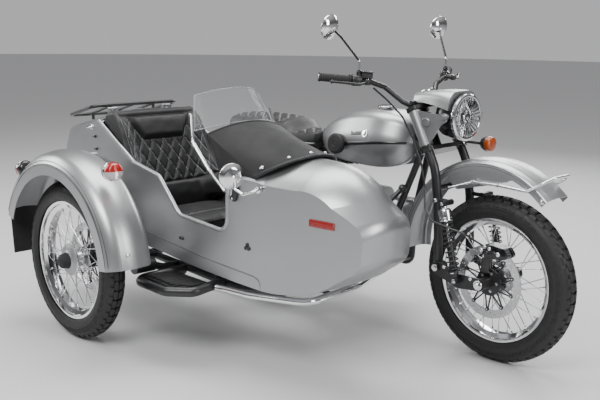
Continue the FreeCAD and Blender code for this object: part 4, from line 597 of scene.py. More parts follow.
for end_name, disc_side in (("front", -1), ("rear", 1), ("side", 1)):
    wheel_body = end_name + "_wheel"
    tyre(end_name + "_tyre", to_mm(AXLE[wheel_body]), wheel_body)
    laced_wheel(end_name + "_laced_wheel", to_mm(AXLE[wheel_body]), wheel_body, disc_side)
side_hub_cap()


# ---------------------------------------------------------------- upholstery
DOWNWARD = (0, 0, -1)
CLOTH_FRAMES = 20


def read(mesh, what="co"):
    out = np.empty(len(mesh.vertices) * 3)
    mesh.vertices.foreach_get(what, out)
    return out.reshape(-1, 3)


def with_points(mesh, points):
    mesh = mesh.copy()
    mesh.vertices.foreach_set("co", points.ravel())
    mesh.update()
    return mesh


def refined(mesh, levels):
    piece = add_object("work", mesh)
    modifier = piece.modifiers.new("work", "SUBSURF")
    modifier.levels = modifier.render_levels = levels
    graph = bpy.context.evaluated_depsgraph_get()
    out = bpy.data.meshes.new_from_object(piece.evaluated_get(graph))
    bpy.data.objects.remove(piece)
    return out


def swollen(mesh, held, pressure, cap):
    """Where cloth simulation under inner pressure takes the points; none moves further than cap mm."""
    rest = read(mesh)
    piece = add_object("cloth_work", mesh.copy())
    piece.vertex_groups.new(name="held").add([int(i) for i in np.nonzero(held)[0]], 1.0, "REPLACE")
    cloth = piece.modifiers.new("cloth", "CLOTH")
    s = cloth.settings
    s.quality, s.mass = 6, 0.4
    s.tension_stiffness = s.compression_stiffness = 18
    s.shear_stiffness, s.bending_stiffness = 8, 2
    s.use_pressure, s.uniform_pressure_force = True, pressure
    s.vertex_group_mass, s.pin_stiffness = "held", 1
    s.effector_weights.gravity = 0
    cloth.point_cache.frame_start, cloth.point_cache.frame_end = 1, CLOTH_FRAMES
    for f in range(1, CLOTH_FRAMES + 1):
        bpy.context.scene.frame_set(f)
    graph = bpy.context.evaluated_depsgraph_get()
    moved = read(piece.evaluated_get(graph).data) - rest
    bpy.context.scene.frame_set(1)
    bpy.data.objects.remove(piece)
    length = np.maximum(np.linalg.norm(moved, axis=1), 1e-9)
    limit = cap * MM
    return rest + moved * (limit * np.tanh(length / limit) / length)[:, None]


def pad(name, form, held, relief, stands_for, cap, levels=2, pressure=3.0):
    """Stuffed piece: swelled by the cloth solver, refined, then given its seams and channels."""
    base = form.mesh(name, 2e-5)
    rest = read(base)
    fine_rest = read(refined(base, levels))
    fine = refined(with_points(base, swollen(base, held(to_mm(rest)), pressure, cap)), levels)
    fine = with_points(fine, to_m(relief(to_mm(fine_rest), to_mm(read(fine)), read(fine, "normal"))))
    piece = finish_piece(fine, name, "chassis", 75, [stands_for])
    return skin_of(piece)


def stitch_run(form, tree, line, way, side=0.0, radius=0.62, step=6.4, length=4.4):
    """Row of single stitches laid on a surface along a line; side shifts it across the line."""
    line = np.asarray(line, float)
    run = np.concatenate([[0], np.cumsum(np.linalg.norm(np.diff(line, axis=0), axis=1))])
    count = max(2, int(run[-1] / step))
    places = (np.arange(count) + 0.5) * run[-1] / count
    above = np.stack([np.interp(places, run, line[:, k]) for k in range(3)], 1) - unit(way) * 300
    spots = [meet(tree, p, way) for p in above]
    for i, (spot, up) in enumerate(spots):
        j = i + 1 if i + 1 < count and spots[i + 1][0] is not None else i - 1
        if spot is None or j < 0 or spots[j][0] is None:
            continue
        along = (spots[j][0] - spot) * (1 if j > i else -1)
        if np.linalg.norm(along) > 3 * step:
            continue
        along = unit(along)
        middle = spot + np.cross(along, up) * side
        form.tube([middle + along * length * a + up * h for a, h in
                   ((-0.5, -0.8), (-0.3, radius * 0.7), (0.3, radius * 0.7), (0.5, -0.8))], radius, THREAD,
                  5, caps=False)


def double_stitch(form, tree, spots, allowed, least, place, way):
    """Two rows of stitches along each stretch of more than least spots in a row that are allowed."""
    run = []
    for q in [*spots, None]:
        if q is not None and allowed(*q):
            run.append(q)
            continue
        if len(run) > least:
            for side in (-1.7, 1.7):
                stitch_run(form, tree, [place(*p) for p in run], way, side)
        run = []


def bump_up(d, width):
    """Rounded rise from 0 at a seam to 1 at the given distance from it."""
    return 1 - (1 - np.clip(d / width, 0, 1)) ** 2.4


def step_up(t, a, b):
    t = np.clip((t - a) / (b - a), 0, 1)
    return t * t * (3 - 2 * t)


def off_grid(a):
    """Distance from a to the nearest whole number."""
    return np.abs(a - np.round(a))


def shrunk(points, share):
    """Points drawn in to their middle."""
    points = np.asarray(points, float)
    return points.mean(0) + (points - points.mean(0)) * share


# --- sidecar backrest: plain roll round a field of double-stitched diamonds, with a headrest
BACK_LOW, BACK_HIGH = node_box("sidecar_backrest")
BACK_MID = (BACK_LOW[1] + BACK_HIGH[1]) / 2
BACK_HALF = (BACK_HIGH[1] - BACK_LOW[1]) / 2
BACK_TOP = np.array((-110.0, 0.0, 955.0))
BACK_DOWN = unit(np.array((56.0, 0.0, 560.0)) - BACK_TOP)
BACK_OUT = np.array((-BACK_DOWN[2], 0.0, BACK_DOWN[0]))
DIAMOND = (58.0, 104.0)                   # width and height
DIAMOND_ROW = 140.0                       # how far down the row of corners under the headrest is
QUILT_HALF, QUILT_ENDS = BACK_HALF - 24, (16.0, 350.0)
HEADREST = [(-184, 22), (184, 22), (108, 140), (-108, 140)]      # across, and down the back
BACK_SECTION = [(-186, 900), (-180, 935), (-166, 950), (-140, 955), (-118, 952), (-103, 938), (-92, 915),
                (-72, 866), (-40, 790), (-8, 713), (22, 642), (44, 588), (50, 555), (50, 500), (48, 452),
                (40, 449),
                (-10, 449), (-54, 449), (-60, 460), (-90, 560), (-125, 690), (-160, 820)]
WING_Z = [449, 530, 560, 610, 690, 745, 800, 870, 920, 955]
WING_OUT = [0, 8, 78, 100, 96, 55, 42, 34, 20, 0]
WING_FROM = 150                           # the side wings bend forward from here on
BACK_LEAN = -0.42                         # x a mm of height, along the back's middle
EDGE_R = 20.0


def in_headrest(u, v):
    """How far inside the headrest's outline a spot is."""
    sides = []
    for (u1, v1), (u2, v2) in zip(HEADREST, HEADREST[1:] + HEADREST[:1]):
        e = unit((u2 - u1, v2 - v1))
        sides.append((v - v1) * e[0] - (u - u1) * e[1])
    return np.min(sides, axis=0)


def backrest_form(base, middle):
    """Section carried across between two rounded ends, its front bent forward in the wings."""
    rows = []
    insets = [0, 1.5, 5, 11, 20]
    inner = np.linspace(-BACK_HALF + 32, BACK_HALF - 32, 38)
    for c in [*(-BACK_HALF + np.array(insets)), *inner, *(BACK_HALF - np.array(insets[::-1]))]:
        t = max(0.0, EDGE_R - (BACK_HALF - abs(c)))
        inset = EDGE_R - math.sqrt(EDGE_R ** 2 - t * t)
        front = step_up(base[:, 0] - middle[0] - (base[:, 1] - middle[1]) * BACK_LEAN, -6, 30)
        out = front * step_up(abs(c), 130, BACK_HALF - 10) * np.interp(base[:, 1], WING_Z, WING_OUT)
        away = base - middle + np.stack([out, 0 * out], 1)
        away *= np.maximum(0.1, 1 - inset / np.maximum(60.0, np.linalg.norm(away, axis=1)))[:, None]
        rows.append([(middle[0] + x, BACK_MID + c, middle[1] + z) for x, z in away])
    for share in (0.45, 0.0):
        for y, at_end in ((BACK_MID - BACK_HALF, 0), (BACK_MID + BACK_HALF, len(rows) + 1)):
            rows.insert(at_end, [(x, y, z) for x, z in middle + (base - middle) * share])
    return Form().grid(rows, VINYL, round_v=True)


def backrest():
    base = smooth_line(BACK_SECTION, 4, closed=True)
    middle = base.mean(0)

    def relief(rest, now, up):
        v = (rest - BACK_TOP) @ BACK_DOWN
        w = rest[:, 1] - BACK_MID
        u = np.sign(w) * (np.abs(w) + 0.5 * np.maximum(0, np.abs(w) - WING_FROM))
        a, b = u / DIAMOND[0], (v - DIAMOND_ROW) / DIAMOND[1]
        near = np.minimum(off_grid(a + b), off_grid(a - b)) * DIAMOND[0] * DIAMOND[1] / math.hypot(*DIAMOND)
        field = np.minimum(np.minimum(QUILT_HALF - np.abs(w), v - QUILT_ENDS[0]), QUILT_ENDS[1] - v)
        inside = in_headrest(u, v)
        quilt = bump_up(np.minimum(np.minimum(near, np.abs(field)), np.abs(inside)), 15)
        roll = bump_up(-field, 22)
        rise = np.where(field > 0, 8.5 * quilt - 6.5, 4.0 * roll - 6.5 * (1 - roll))
        rise = np.where(inside > 0, -6.5 + 24 * bump_up(inside, 26) + 2.0 * bump_up(inside, 70), rise)
        slack = np.sin(rest[:, 1] * 0.05) * np.sin(v * 0.11 + rest[:, 1] * 0.02) * 0.6
        return now + up * ((rise + slack) * step_up(up @ BACK_OUT, 0.15, 0.5))[:, None]

    tree = pad("backrest_pad", backrest_form(base, middle),
               lambda p: p[:, 0] < middle[0] + (p[:, 2] - middle[1]) * BACK_LEAN - 12, relief,
               "sidecar_backrest", cap=8.0)
    thread = Form()

    def flat(u):
        return min(abs(u), WING_FROM + (abs(u) - WING_FROM) / 1.5)

    def spot(u, v):
        return BACK_TOP + BACK_DOWN * v + (0, BACK_MID + math.copysign(flat(u), u), 0)

    def allowed(u, v):
        in_field = flat(u) < QUILT_HALF - 2 and QUILT_ENDS[0] + 2 < v < QUILT_ENDS[1] - 2
        return abs(u) < BACK_HALF + 30 and in_field and in_headrest(u, v) < -3

    for family, k in product((1, -1), range(-14, 15)):
        line = [((k - family * (v - DIAMOND_ROW) / DIAMOND[1]) * DIAMOND[0], v)
                for v in np.arange(0, 360, 6.0)]
        double_stitch(thread, tree, line, allowed, 3, spot, -BACK_OUT)
    for sign in (-1, 1):
        y = BACK_MID + sign * (QUILT_HALF + 3)
        stitch_run(thread, tree, [BACK_TOP + BACK_DOWN * v + (0, y, 0) for v in np.arange(22, 350, 8)],
                   -BACK_OUT)
    thread.build("backrest_stitching", "chassis", "seat_vinyl")


# --- sidecar cushion: crowned pad with a welt round its top
CUSHION_RINGS = [
    # share of the half size, height
    (0, 444), (0.5, 444), (0.88, 444), (0.95, 447), (0.975, 458), (0.985, 480), (0.985, 500), (0.975, 515),
    (0.95, 524), (0.86, 529), (0.68, 532), (0.45, 533), (0.2, 534), (0, 534)]
CREASES = [(0.043, 0.021, 0.4), (0.019, 0.052, 1.7), (0.083, 0.04, 2.9)]
SQUARENESS = 5.5


def cushion():
    low, high = node_box("sidecar_cushion")
    mid, half = (low + high) / 2, (high - low) / 2
    seam_x = mid[0] + half[0] * 0.42
    turn = full_turn(112)
    c, s = np.cos(turn), np.sin(turn)
    reach = (np.abs(c) ** SQUARENESS
             + np.abs(s) ** SQUARENESS) ** (-1 / SQUARENESS) * (1 - 0.018 * np.cos(2 * turn) ** 2)
    outline = np.stack([half[0] * reach * c, half[1] * reach * s, 0 * c], 1)

    def ring(share, z):
        return (mid[0], mid[1], z) + outline * share

    def relief(rest, now, up):
        crease = sum(np.sin(rest[:, 0] * a + rest[:, 1] * b + shift) for a, b, shift in CREASES) / 3
        groove = 1 - bump_up(np.abs(rest[:, 0] - seam_x), 13)
        return now + up * (step_up(up[:, 2], 0.3, 0.8) * (1.5 * crease - 4.5 * groove))[:, None]

    form = Form().grid([ring(*r) for r in CUSHION_RINGS], VINYL, round_v=True)
    tree = pad("cushion_pad", form, lambda p: p[:, 2] < 470, relief, "sidecar_cushion", cap=12.0, levels=1)
    welt, thread = Form(), Form()
    loop = []
    for p in ring(0.985, 515):
        outward = unit((p - mid) * (1, 1, 0))
        loop.append(meet(tree, p + outward * 60, -outward)[0])
    welt.tube(loop + loop[:1], 3.2, PIPING, 8, caps=False)
    for offset in (-4, 4):
        line = [(seam_x + offset, y, 560) for y in np.linspace(low[1] + 18, high[1] - 18, 40)]
        stitch_run(thread, tree, line, DOWNWARD, radius=0.5)
    welt.build("cushion_welt", "chassis", "seat_vinyl")
    thread.build("cushion_stitching", "chassis", "seat_vinyl")


# --- saddle: one seat with a raised pillion part, double-stitched on top, with a pale piping
SADDLE_LOW, SADDLE_HIGH = node_box("saddle")
SADDLE_X = [SADDLE_LOW[0], -225, -200, -60, 60, 170, 200, 222, 240, 262, 330, 380, SADDLE_HIGH[0] - 8,
            SADDLE_HIGH[0]]
SADDLE_TOP = [852, 886, 896, 904, 903, 899, 890, 868, 853, 849, 853, 861, 858, 838]
SADDLE_HALF = [104, 114, 119, 129, 136, 141, 142, 143, 143, 142, 123, 108, 100, 92]
SADDLE_FOOT = SADDLE_LOW[2] + 4
SADDLE_LOOP = [
    # share of the half width, share of the height
    (0, 0), (0.55, 0), (0.82, 0.0), (0.9, 0.05), (0.955, 0.16), (0.965, 0.34), (0.95, 0.52), (0.91, 0.68),
    (0.84, 0.80), (0.72, 0.89), (0.56, 0.945), (0.38, 0.975), (0.19, 0.99)]
SADDLE_FIELDS = [(-206, 176), (262, 384)]
SADDLE_DIAMOND = 60
SADDLE_EDGE_R = 26.0


def saddle_form():
    loop = smooth_line(SADDLE_LOOP + [(0, 1.0)] + [(-a, b) for a, b in SADDLE_LOOP[:0:-1]], 2, closed=True)
    ends = np.array((1, 4, 10, 18))
    x0, x1 = SADDLE_LOW[0], SADDLE_HIGH[0]
    rows = []
    for x in [*(x0 + ends), *np.linspace(x0 + 30, x1 - 28, 40), *(x1 - ends[::-1])]:
        top, half = np.interp(x, SADDLE_X, SADDLE_TOP) - 3, np.interp(x, SADDLE_X, SADDLE_HALF)
        t = max(0.0, SADDLE_EDGE_R - min(x - x0, x1 - x))
        k = 1 - (SADDLE_EDGE_R - math.sqrt(SADDLE_EDGE_R ** 2 - t * t)) / 95
        mid_z = (SADDLE_FOOT + top) / 2
        rows.append([(x, a * half * k, mid_z + (SADDLE_FOOT + b * (top - SADDLE_FOOT) - mid_z) * k)
                     for a, b in loop])
    first, last = rows[0], rows[-1]
    rows = [shrunk(first, 0), shrunk(first, 0.5), *rows, shrunk(last, 0.5), shrunk(last, 0)]
    return Form().grid(rows, VINYL, round_v=True)


def in_saddle_field(x, y):
    """How far inside the quilted fields a spot is."""
    width = np.interp(x, SADDLE_X, SADDLE_HALF) - 40 - np.abs(y)
    return np.max([np.minimum(np.minimum(x - a, b - x), width) for a, b in SADDLE_FIELDS], axis=0)


def saddle():
    def relief(rest, now, up):
        x, y, z = rest.T
        a, b = (y + x) / SADDLE_DIAMOND, (y - x) / SADDLE_DIAMOND
        near = np.minimum(off_grid(a), off_grid(b)) * SADDLE_DIAMOND / math.sqrt(2)
        field = in_saddle_field(x, y)
        top = step_up(up[:, 2], 0.35, 0.8)
        rise = np.where(field > 0, 6.0 * bump_up(np.minimum(near, field), 15) - 4.5,
                        6.5 * bump_up(-field, 16) - 4.5)
        band = np.exp(-((z - 800) / 5.0) ** 2) * (1 - top)
        return now + up * (rise * top - 2.5 * band)[:, None]

    tree = pad("saddle_pad", saddle_form(), lambda p: p[:, 2] < SADDLE_FOOT + 16, relief, "saddle", cap=7.0)
    thread, welt = Form(), Form()
    for sign, k in product((-1, 1), range(-9, 12)):
        line = [(x, sign * (x - k * SADDLE_DIAMOND)) for x in np.arange(-210, 390, 5.0)]
        double_stitch(thread, tree, line, lambda x, y: abs(y) < 120 and in_saddle_field(x, y) > 1, 2,
                      lambda x, y: (x, y, 960), DOWNWARD)
    thread.build("saddle_stitching", "chassis", "seat_vinyl")
    xs = np.linspace(SADDLE_LOW[0] + 14, SADDLE_HIGH[0] - 14, 46)
    spots = [meet(tree, (x, s * 260, 801), (0, -s, 0))[0]
             for s, line in ((-1, xs), (1, xs[::-1])) for x in line]
    spots = [p for p in spots if p is not None]
    welt.tube(smooth_line(spots + spots[:1], 2), 3.0, PALE_PIPING, 8, caps=False)
    welt.build("saddle_welt", "chassis", "seat_vinyl")


backrest()
cushion()
saddle()


# ---------------------------------------------------------------- cover over the footwell and windscreen
# The cover is a stretched sheet with a piped front edge, hems and snap studs.
APRON_LOW, APRON_HIGH = node_box("cockpit_apron")
COVER_ROWS, COVER_COLUMNS = 33, 49
COVER_THICK, FLAP_THICK = 3.2, 3.0
STUD_ROW, STUD_COLUMNS = 29, (5, 15, 24, 33, 43)


def arc3(a, b, c, count):
    """Points along the circle through three points."""
    a, b, c = (np.asarray(p, float) for p in (a, b, c))
    u, v = b - a, c - a
    w = np.cross(u, v)
    centre = a + (np.dot(u, u) * np.cross(v, w) - np.dot(v, v) * np.cross(u, w)) / (2 * np.dot(w, w))
    e1 = unit(a - centre)
    e2 = np.cross(unit(w), e1)
    radius = np.linalg.norm(a - centre)
    end = math.atan2(np.dot(c - centre, e2), np.dot(c - centre, e1)) % (2 * math.pi)
    return np.array([centre + radius * (math.cos(t) * e1 + math.sin(t) * e2)
                     for t in np.linspace(0, end, count)])


HOOP_ARC = arc3((548, -836, 918), (578, BACK_MID, 959), (548, -434, 918), COVER_COLUMNS)
COWL_ARC = arc3((834, APRON_LOW[1] + 12.5, 781.5), (966, BACK_MID, 862), (834, APRON_HIGH[1] - 12.5, 781.5),
                COVER_COLUMNS)


def apron():
    studs, cover, trim = Form(), Form(), Form()
    t = np.linspace(0, 1, COVER_ROWS)[:, None]
    j = np.arange(COVER_COLUMNS)
    belly = np.abs(np.sin(math.pi * t))
    width = np.abs(np.sin(math.pi * j / (COVER_COLUMNS - 1)))
    top = HOOP_ARC * (1 - t[..., None]) + COWL_ARC * t[..., None]
    top[..., 2] += belly * (0.9 * np.sin(7.0 * t + j * 0.35) * width - 5.0 * width ** 0.6)
    rows = np.concatenate([top, top[::-1] - (0, 0, COVER_THICK)])
    cover.grid(rows, COVER_VINYL, round_u=True)
    last = 2 * COVER_ROWS - 1
    for column in (0, COVER_COLUMNS - 1):
        cover.add(rows[:, column], [(i, i + 1, last - 1 - i, last - i) for i in range(COVER_ROWS - 1)],
                  COVER_VINYL)
    for s, end, y in ((1, 0, BACK_LOW[1] + 10.5), (-1, -1, BACK_HIGH[1] - 10.5)):
        hoop, cowl = HOOP_ARC[end], COWL_ARC[end]
        tuck, foot = np.array((694, y, 796)), np.array((686, y, 702))
        for face in ((hoop, cowl, tuck), (hoop, tuck, foot)):
            outer = np.array(face) - (0, 0, 1.2)
            cover.add(np.vstack([outer, outer + (0, s * FLAP_THICK, 0)]),
                      [(0, 1, 2), (5, 4, 3), (0, 3, 4, 1), (1, 4, 5, 2), (2, 5, 3, 0)], COVER_VINYL)
        trim.tube([hoop - (0, 0, 1), (hoop + foot) / 2 - (0, 0, 1), foot], 3.4, PIPING, 8)
    piece = cover.build("apron_cover", "chassis", "seat_vinyl", 50, ["cockpit_apron"])
    trim.tube(COWL_ARC + (2.0, 0, 1.5), 6.0, PIPING, 12)
    trim.tube(COWL_ARC + (-11, 0, 4.2), 0.9, THREAD_DARK, 6)
    trim.tube(HOOP_ARC + (-2.0, 0, 0.5), 4.2, PIPING, 10)
    trim.build("apron_trim", "chassis", "seat_vinyl")
    for column in STUD_COLUMNS:
        p = top[STUD_ROW, column] + (0, 0, 0.4)
        n = unit(np.cross(top[STUD_ROW - 1, column] - top[STUD_ROW + 1, column],
                          top[STUD_ROW, column - 1] - top[STUD_ROW, column + 1]))
        n *= np.sign(n[2])
        studs.turned([(0, 0), (0, 8), (1.2, 8), (2.2, 6.2), (3.4, 6.0), (5.2, 4.6), (6.0, 2.0), (6.2, 0)],
                     p, n, CHROME, 24)
        studs.turned([(0.2, 8.0), (1.9, 8.6), (0.2, 9.6)], p, n, BLACK, 24)
    studs.build("apron_studs", "chassis", "chrome")


def screen():
    """Polished edge of the clear screen, and its chrome strips."""
    lower = arc3((474, -850, 925), (570, BACK_MID, 962), (474, -420, 925), 41)
    upper = arc3((416, -804, 1062), (484, BACK_MID, 1092), (416, -466, 1062), 41)
    share = np.linspace(0.05, 0.95, 12)[:, None]
    loop = np.vstack([lower, lower[-1] * (1 - share) + upper[-1] * share, upper[::-1],
                      upper[0] * (1 - share) + lower[0] * share, lower[:1]])
    Form().tube(loop, 1.3, SCREEN_EDGE, 6, caps=False).build("screen_edge", "chassis", "screen_clear")
    strips = Form()
    for s, y in ((-1, -880.0), (1, -390.0)):
        line = round_path([(446, y - s * 35, 990), (482, y - s * 16, 880), (570, y - s * 28, 780),
                           (668, y - s * 32, 706)], 60, 10)
        strips.tube(line + (9.0, 0, 3.0), 2.4, CHROME, 8)
        for along in (0.04, 0.24, 0.5):
            strips.dome(line[int(along * (len(line) - 1))] + (2, s * 5.6, 0), (0, s, 0), 4.6, 3.0, CHROME, 16)
    strips.build("screen_strips", "chassis", "chrome")


apron()
screen()


# ---------------------------------------------------------------- springs and dampers
EYE = [(-12, 5.5), (-12, 13), (-10, 13.6), (10, 13.6), (12, 13), (12, 5.5)]
STEPS_A_TURN = 26


def helix(low, axis, radius, wire, turns, start, stop):
    """Spring wire whose first and last turns lie flat."""
    side, up = across(axis)
    out = []
    for t in np.linspace(0, turns + 2, int((turns + 2) * STEPS_A_TURN) + 1):
        rise = np.interp(t, [0, 1, turns + 1, turns + 2], [start, start + wire, stop - wire, stop])
        a = 2 * math.pi * t
        out.append(low + axis * rise + radius * (math.cos(a) * side + math.sin(a) * up))
    return out


def spring_damper(name, body, ends, coil_r, wire, turns, sleeve, stands_for):
    """Damper body and rod, helical spring between two collars, chrome top sleeve, bonded eyes."""
    form = Form()
    for low, top in np.array(ends, float):
        axis, length = unit(top - low), np.linalg.norm(top - low)
        cover, half = length * (1 - sleeve), length * 0.5
        r = coil_r + 0.6
        parts = [
            ([(8, 0), (8, 10), (14, 12), (18, 15.5), (36, 16), (36, coil_r + 1), (39, coil_r + 1.6),
              (42, coil_r + 1),
              (44, 17), (70, 17), (70, 0)], BLACK, 32),
            ([(30, 16.2), (31, 18.5), (35, 18.5), (36, 16.2)], CHROME, 32),
            ([(66, 0), (66, 14.5), (half, 14.5), (half + 2, 13), (half + 4, 7), (half + 4, 0)], SPRING_DARK,
             28),
            ([(length * 0.48, 5.5), (length - 26, 5.5)], CHROME, 20),
            ([(cover - 2, coil_r - 2), (cover - 2, coil_r + 1.6), (cover + 1, coil_r + 2), (cover + 3, r),
              (cover + 6, r),
              (length - 30, r), (length - 24, coil_r - 2), (length - 21, coil_r - 9), (length - 20, 12),
              (length - 12, 11), (length - 9, 0)], CHROME, 40),
            ([(cover + 10, r + 0.3), (cover + 11, r + 0.9), (cover + 13, r + 0.9), (cover + 14, r + 0.3)],
             CHROME, 40),
        ]
        for profile, mat, segments in parts:
            form.turned(profile, low, axis, mat, segments)
        form.tube(helix(low, axis, coil_r - wire / 2 - 0.6, wire, turns - 1.5, 44 + wire / 2,
                        cover - 2 - wire / 2),
                  wire / 2 + 0.4, SPRING_DARK, 9)
        for p in (low, top):
            form.turned(EYE, p, Y_AXIS, BLACK, 28)
            form.turned([(-12.4, 0), (-12.4, 9.6), (12.4, 9.6), (12.4, 0)], p, Y_AXIS, RUBBER, 24)
            for s in (-1, 1):
                form.bolt(p + (0, s * 12.2, 0), (0, s, 0), 5.6, CHROME, 4.5)
    form.build(name, body, "spring_black", 42, [stands_for])


spring_damper("front_dampers", "fork", [((1288, s * 158, 346), (1211, s * 158, 652)) for s in (-1, 1)],
              26, 5.2, 11, 0.22, "front_shocks")
spring_damper("rear_dampers", "chassis", [((-75, s * 152, 395), (-10, s * 152, 700)) for s in (-1, 1)],
              27, 5.4, 11, 0.28, "rear_shocks")
spring_damper("side_damper", "chassis", [((-52, -974, 375), (-52, -974, 690))], 26, 5.2, 10, 0.3,
              "sidecar_shock")


# ---------------------------------------------------------------- headlamp, fork, caliper and front wing
STEER_FOOT = np.array((1012.0, 0, 900.0))         # on the steering axis, at the head's lower end
STEER_UP, STEER_AHEAD = unit((-0.465, 0, 0.885)), unit((0.885, 0, 0.465))
LAMP = np.array((1192.0, 0.0, 987.0))
AHEAD = (1, 0, 0)
BOWL_R, BOWL_DEEP = 82.4, 46.0
WING_AT, WING_R = np.array((1347.0, 0, 421.0)), 419.0


def by_steering(up, ahead, side=0.0):
    """Point at a height along the steering axis, a distance ahead of it and to the left."""
    return STEER_FOOT + STEER_UP * up + STEER_AHEAD * ahead + (0, side, 0)


def headlamp():
    Form().turned([(-132, 0), (-131, 16), (-128, 40), (-118, 60), (-104, 76), (-88, 86.5), (-70, 91),
                   (-50, 92),
                   (-16, 92), (-14.5, 95), (-4, 95.2), (-4, 83.2), (-10, 82.8), (-54, 82), (-54, 0)],
                  LAMP, AHEAD, BLACK_GLOSS, 96).build("headlamp_bucket", "fork", "rubber_black", 30,
                                                      ["headlamp_shell"])
    # trim ring, fluted reflector behind a domed glass, bulb cap in front
    form = Form()
    form.turned([(-12, 95.6), (-6, 96.8), (0, 96.6), (3.6, 93.5), (5.0, 88.5), (4.2, 84.2), (1.0, 82.8),
                 (-3.0, 82.6)],
                LAMP, AHEAD, CHROME, 96)
    form.turned([(-16, 95.3), (-15, 96.4), (-13, 96.4), (-12, 95.3)], LAMP, AHEAD, BLACK_GLOSS, 96)
    turn = full_turn(180)
    flute = np.where(np.arange(len(turn)) % 6 < 3, 0.63, -0.63)
    rows = []
    for r in np.linspace(BOWL_R, 14, 15):
        share = r / BOWL_R
        depth = -4 - BOWL_DEEP * (1 - share ** 2)
        rows.append(LAMP + np.stack([depth + flute * share, r * np.cos(turn), r * np.sin(turn)], 1))
    form.grid(rows, REFLECTOR, round_v=True)
    form.turned([(-50, 15), (-30, 13), (-28, 11), (-28, 0)], LAMP, AHEAD, CHROME, 32)
    form.turned([(-30, 0), (-24, 17), (-20, 18.5), (-12, 17), (-8, 10), (-7, 0)], LAMP, AHEAD, REFLECTOR, 40)
    form.build("headlamp_reflector", "fork", "chrome", 24)
    glass = Form()
    glass.turned([(-1.0, 83.2), (2.2, 82.0), (4.6, 70), (6.4, 50), (7.4, 25), (7.8, 0)], LAMP, AHEAD, GLASS,
                 96)
    glass.turned([(-3.0, 83.0), (0.2, 80.5), (2.6, 69), (4.4, 49), (5.4, 25), (5.8, 0)], LAMP, AHEAD, GLASS,
                 96)
    glass.build("headlamp_glass", "fork", "lamp_clear", replaces=["headlamp_lens"])
    more = Form()
    for s in (-1, 1):
        way = (0, s, 0)
        more.turned([(0, 0), (0, 12.5), (2, 12.5), (3, 11.2), (8, 10.6), (9.5, 9.0), (9.5, 4.2), (7.5, 3.6),
                     (7.5, 0)],
                    (1162, s * 115, 993), way, CHROME, 32)
        more.turned([(0, 0), (0, 15.5), (1.2, 15.5), (1.2, 0)], (1162, s * 114.2, 993), way, STEEL, 32)
        more.turned([(0, 17.0), (1.2, 18.8), (2.0, 17.0)], (1076, s * 127.2, 965), way, PAINT, 40)
        more.turned([(0, 16.5), (0.5, 17.6), (0.9, 16.5)], (1076, s * 127.2, 965), way, BLACK, 40)
    # dial behind the cowl: bezel and dark face
    dial = by_steering(174, 40)
    more.turned([(-6, 44.6), (-2, 46.5), (1.5, 46.0), (3.5, 43.5), (3.0, 40.5), (1.0, 39.5)], dial,
                STEER_UP, CHROME, 56)
    more.turned([(0.6, 40.2), (0.8, 20), (0.8, 0)], dial, STEER_UP, BLACK_GLOSS, 48)
    more.build("lamp_trim", "fork", "chrome")


def fork_details():
    form, caliper = Form(), Form()
    for s in (-1, 1):
        way = (0, s, 0)
        form.bolt((1175, s * 152.2, 375), way, 9.5, CHROME)
        for x, z in ((1214, 384), (1346, 362), (1262, 330)):
            form.turned([(0, 0), (0, 7.5), (1.2, 7), (1.2, 0)], (x, s * 140.2, z), way, CHROME, 24)
            form.dome((x, s * 141.2, z), way, 5.0, 3.5, CHROME)
        form.bolt((1385, s * 144.2, 345), way, 13, CHROME, 10)
        form.bolt((1146, s * 129.4, 652), way, 6.5, CHROME)
        # pinch collar under the shroud
        form.turned([(-6, 20), (-6, 24.5), (-4, 25.5), (4, 25.5), (6, 24.5), (6, 20)],
                    by_steering(-62, 42, s * 110),
                    STEER_UP, BLACK, 36)
    form.build("fork_fasteners", "fork", "chrome")
    face = -134.6
    for x, z, r in ((1386, 490, 6.0), (1464, 486, 6.0), (1424, 502, 5.0), (1400, 470, 4.6)):
        caliper.turned([(0, 0), (0, r * 1.5), (1.5, r * 1.5), (1.5, r), (5, r), (5.8, r * 0.7), (5.8, 0)],
                       (x, face, z), (0, -1, 0), CHROME, 28)
    for x in (1409, 1445):
        caliper.turned([(-2, 0), (-2, 16), (3, 15), (5, 12.5), (5.5, 9), (4.6, 8.5), (4.6, 0)],
                       (x, face, 478), (0, -1, 0), BLACK_GLOSS, 36)
    caliper.turned([(0, 0), (0, 7), (7, 7), (8, 5), (14, 4.2), (14, 0)], (1404, face, 505), (0, -1, 0.2),
                   STEEL, 20)
    caliper.build("caliper_details", "fork", "spring_black")


def wing_details():
    """Dark lines of painted shade beside the wing's edge where it is pressed, bolts at its tip, and the rail's
    clamps.
    """
    lines, fasteners = Form(), Form()
    for s in (-1, 1):
        way = (0, s, 0)
        # thin dark tubes: painted shade along the wing's pressed lines
        for y, r in ((78.12, WING_R - 29), (78.52, WING_R - 19.5)):
            lines.tube([spun(WING_AT, r, a, s * y) for a in np.radians(np.linspace(50, 180, 90))], 0.9,
                       GROOVE_SHADE, 6)
        tip = spun(WING_AT, 388, math.radians(48), s * 78.4)
        fasteners.turned([(0, 0), (0, 11), (2, 11), (3, 9.5), (3, 0)], tip, way, STEEL, 28)
        fasteners.bolt(tip + (0, s * 2.8, 0), way, 7, CHROME)
        for x, z in ((1182, 704), (1300, 745), (1420, 748)):
            fasteners.turned([(-6, 0), (-6, 8.2), (4, 8.2), (5, 6.5), (5, 0)], (x, s * 90, z), way, CHROME,
                             24)
    lines.build("fork_wing_bead_shade", "fork", "paint_silver")
    fasteners.build("wing_fasteners", "fork", "chrome")


headlamp()
fork_details()
wing_details()


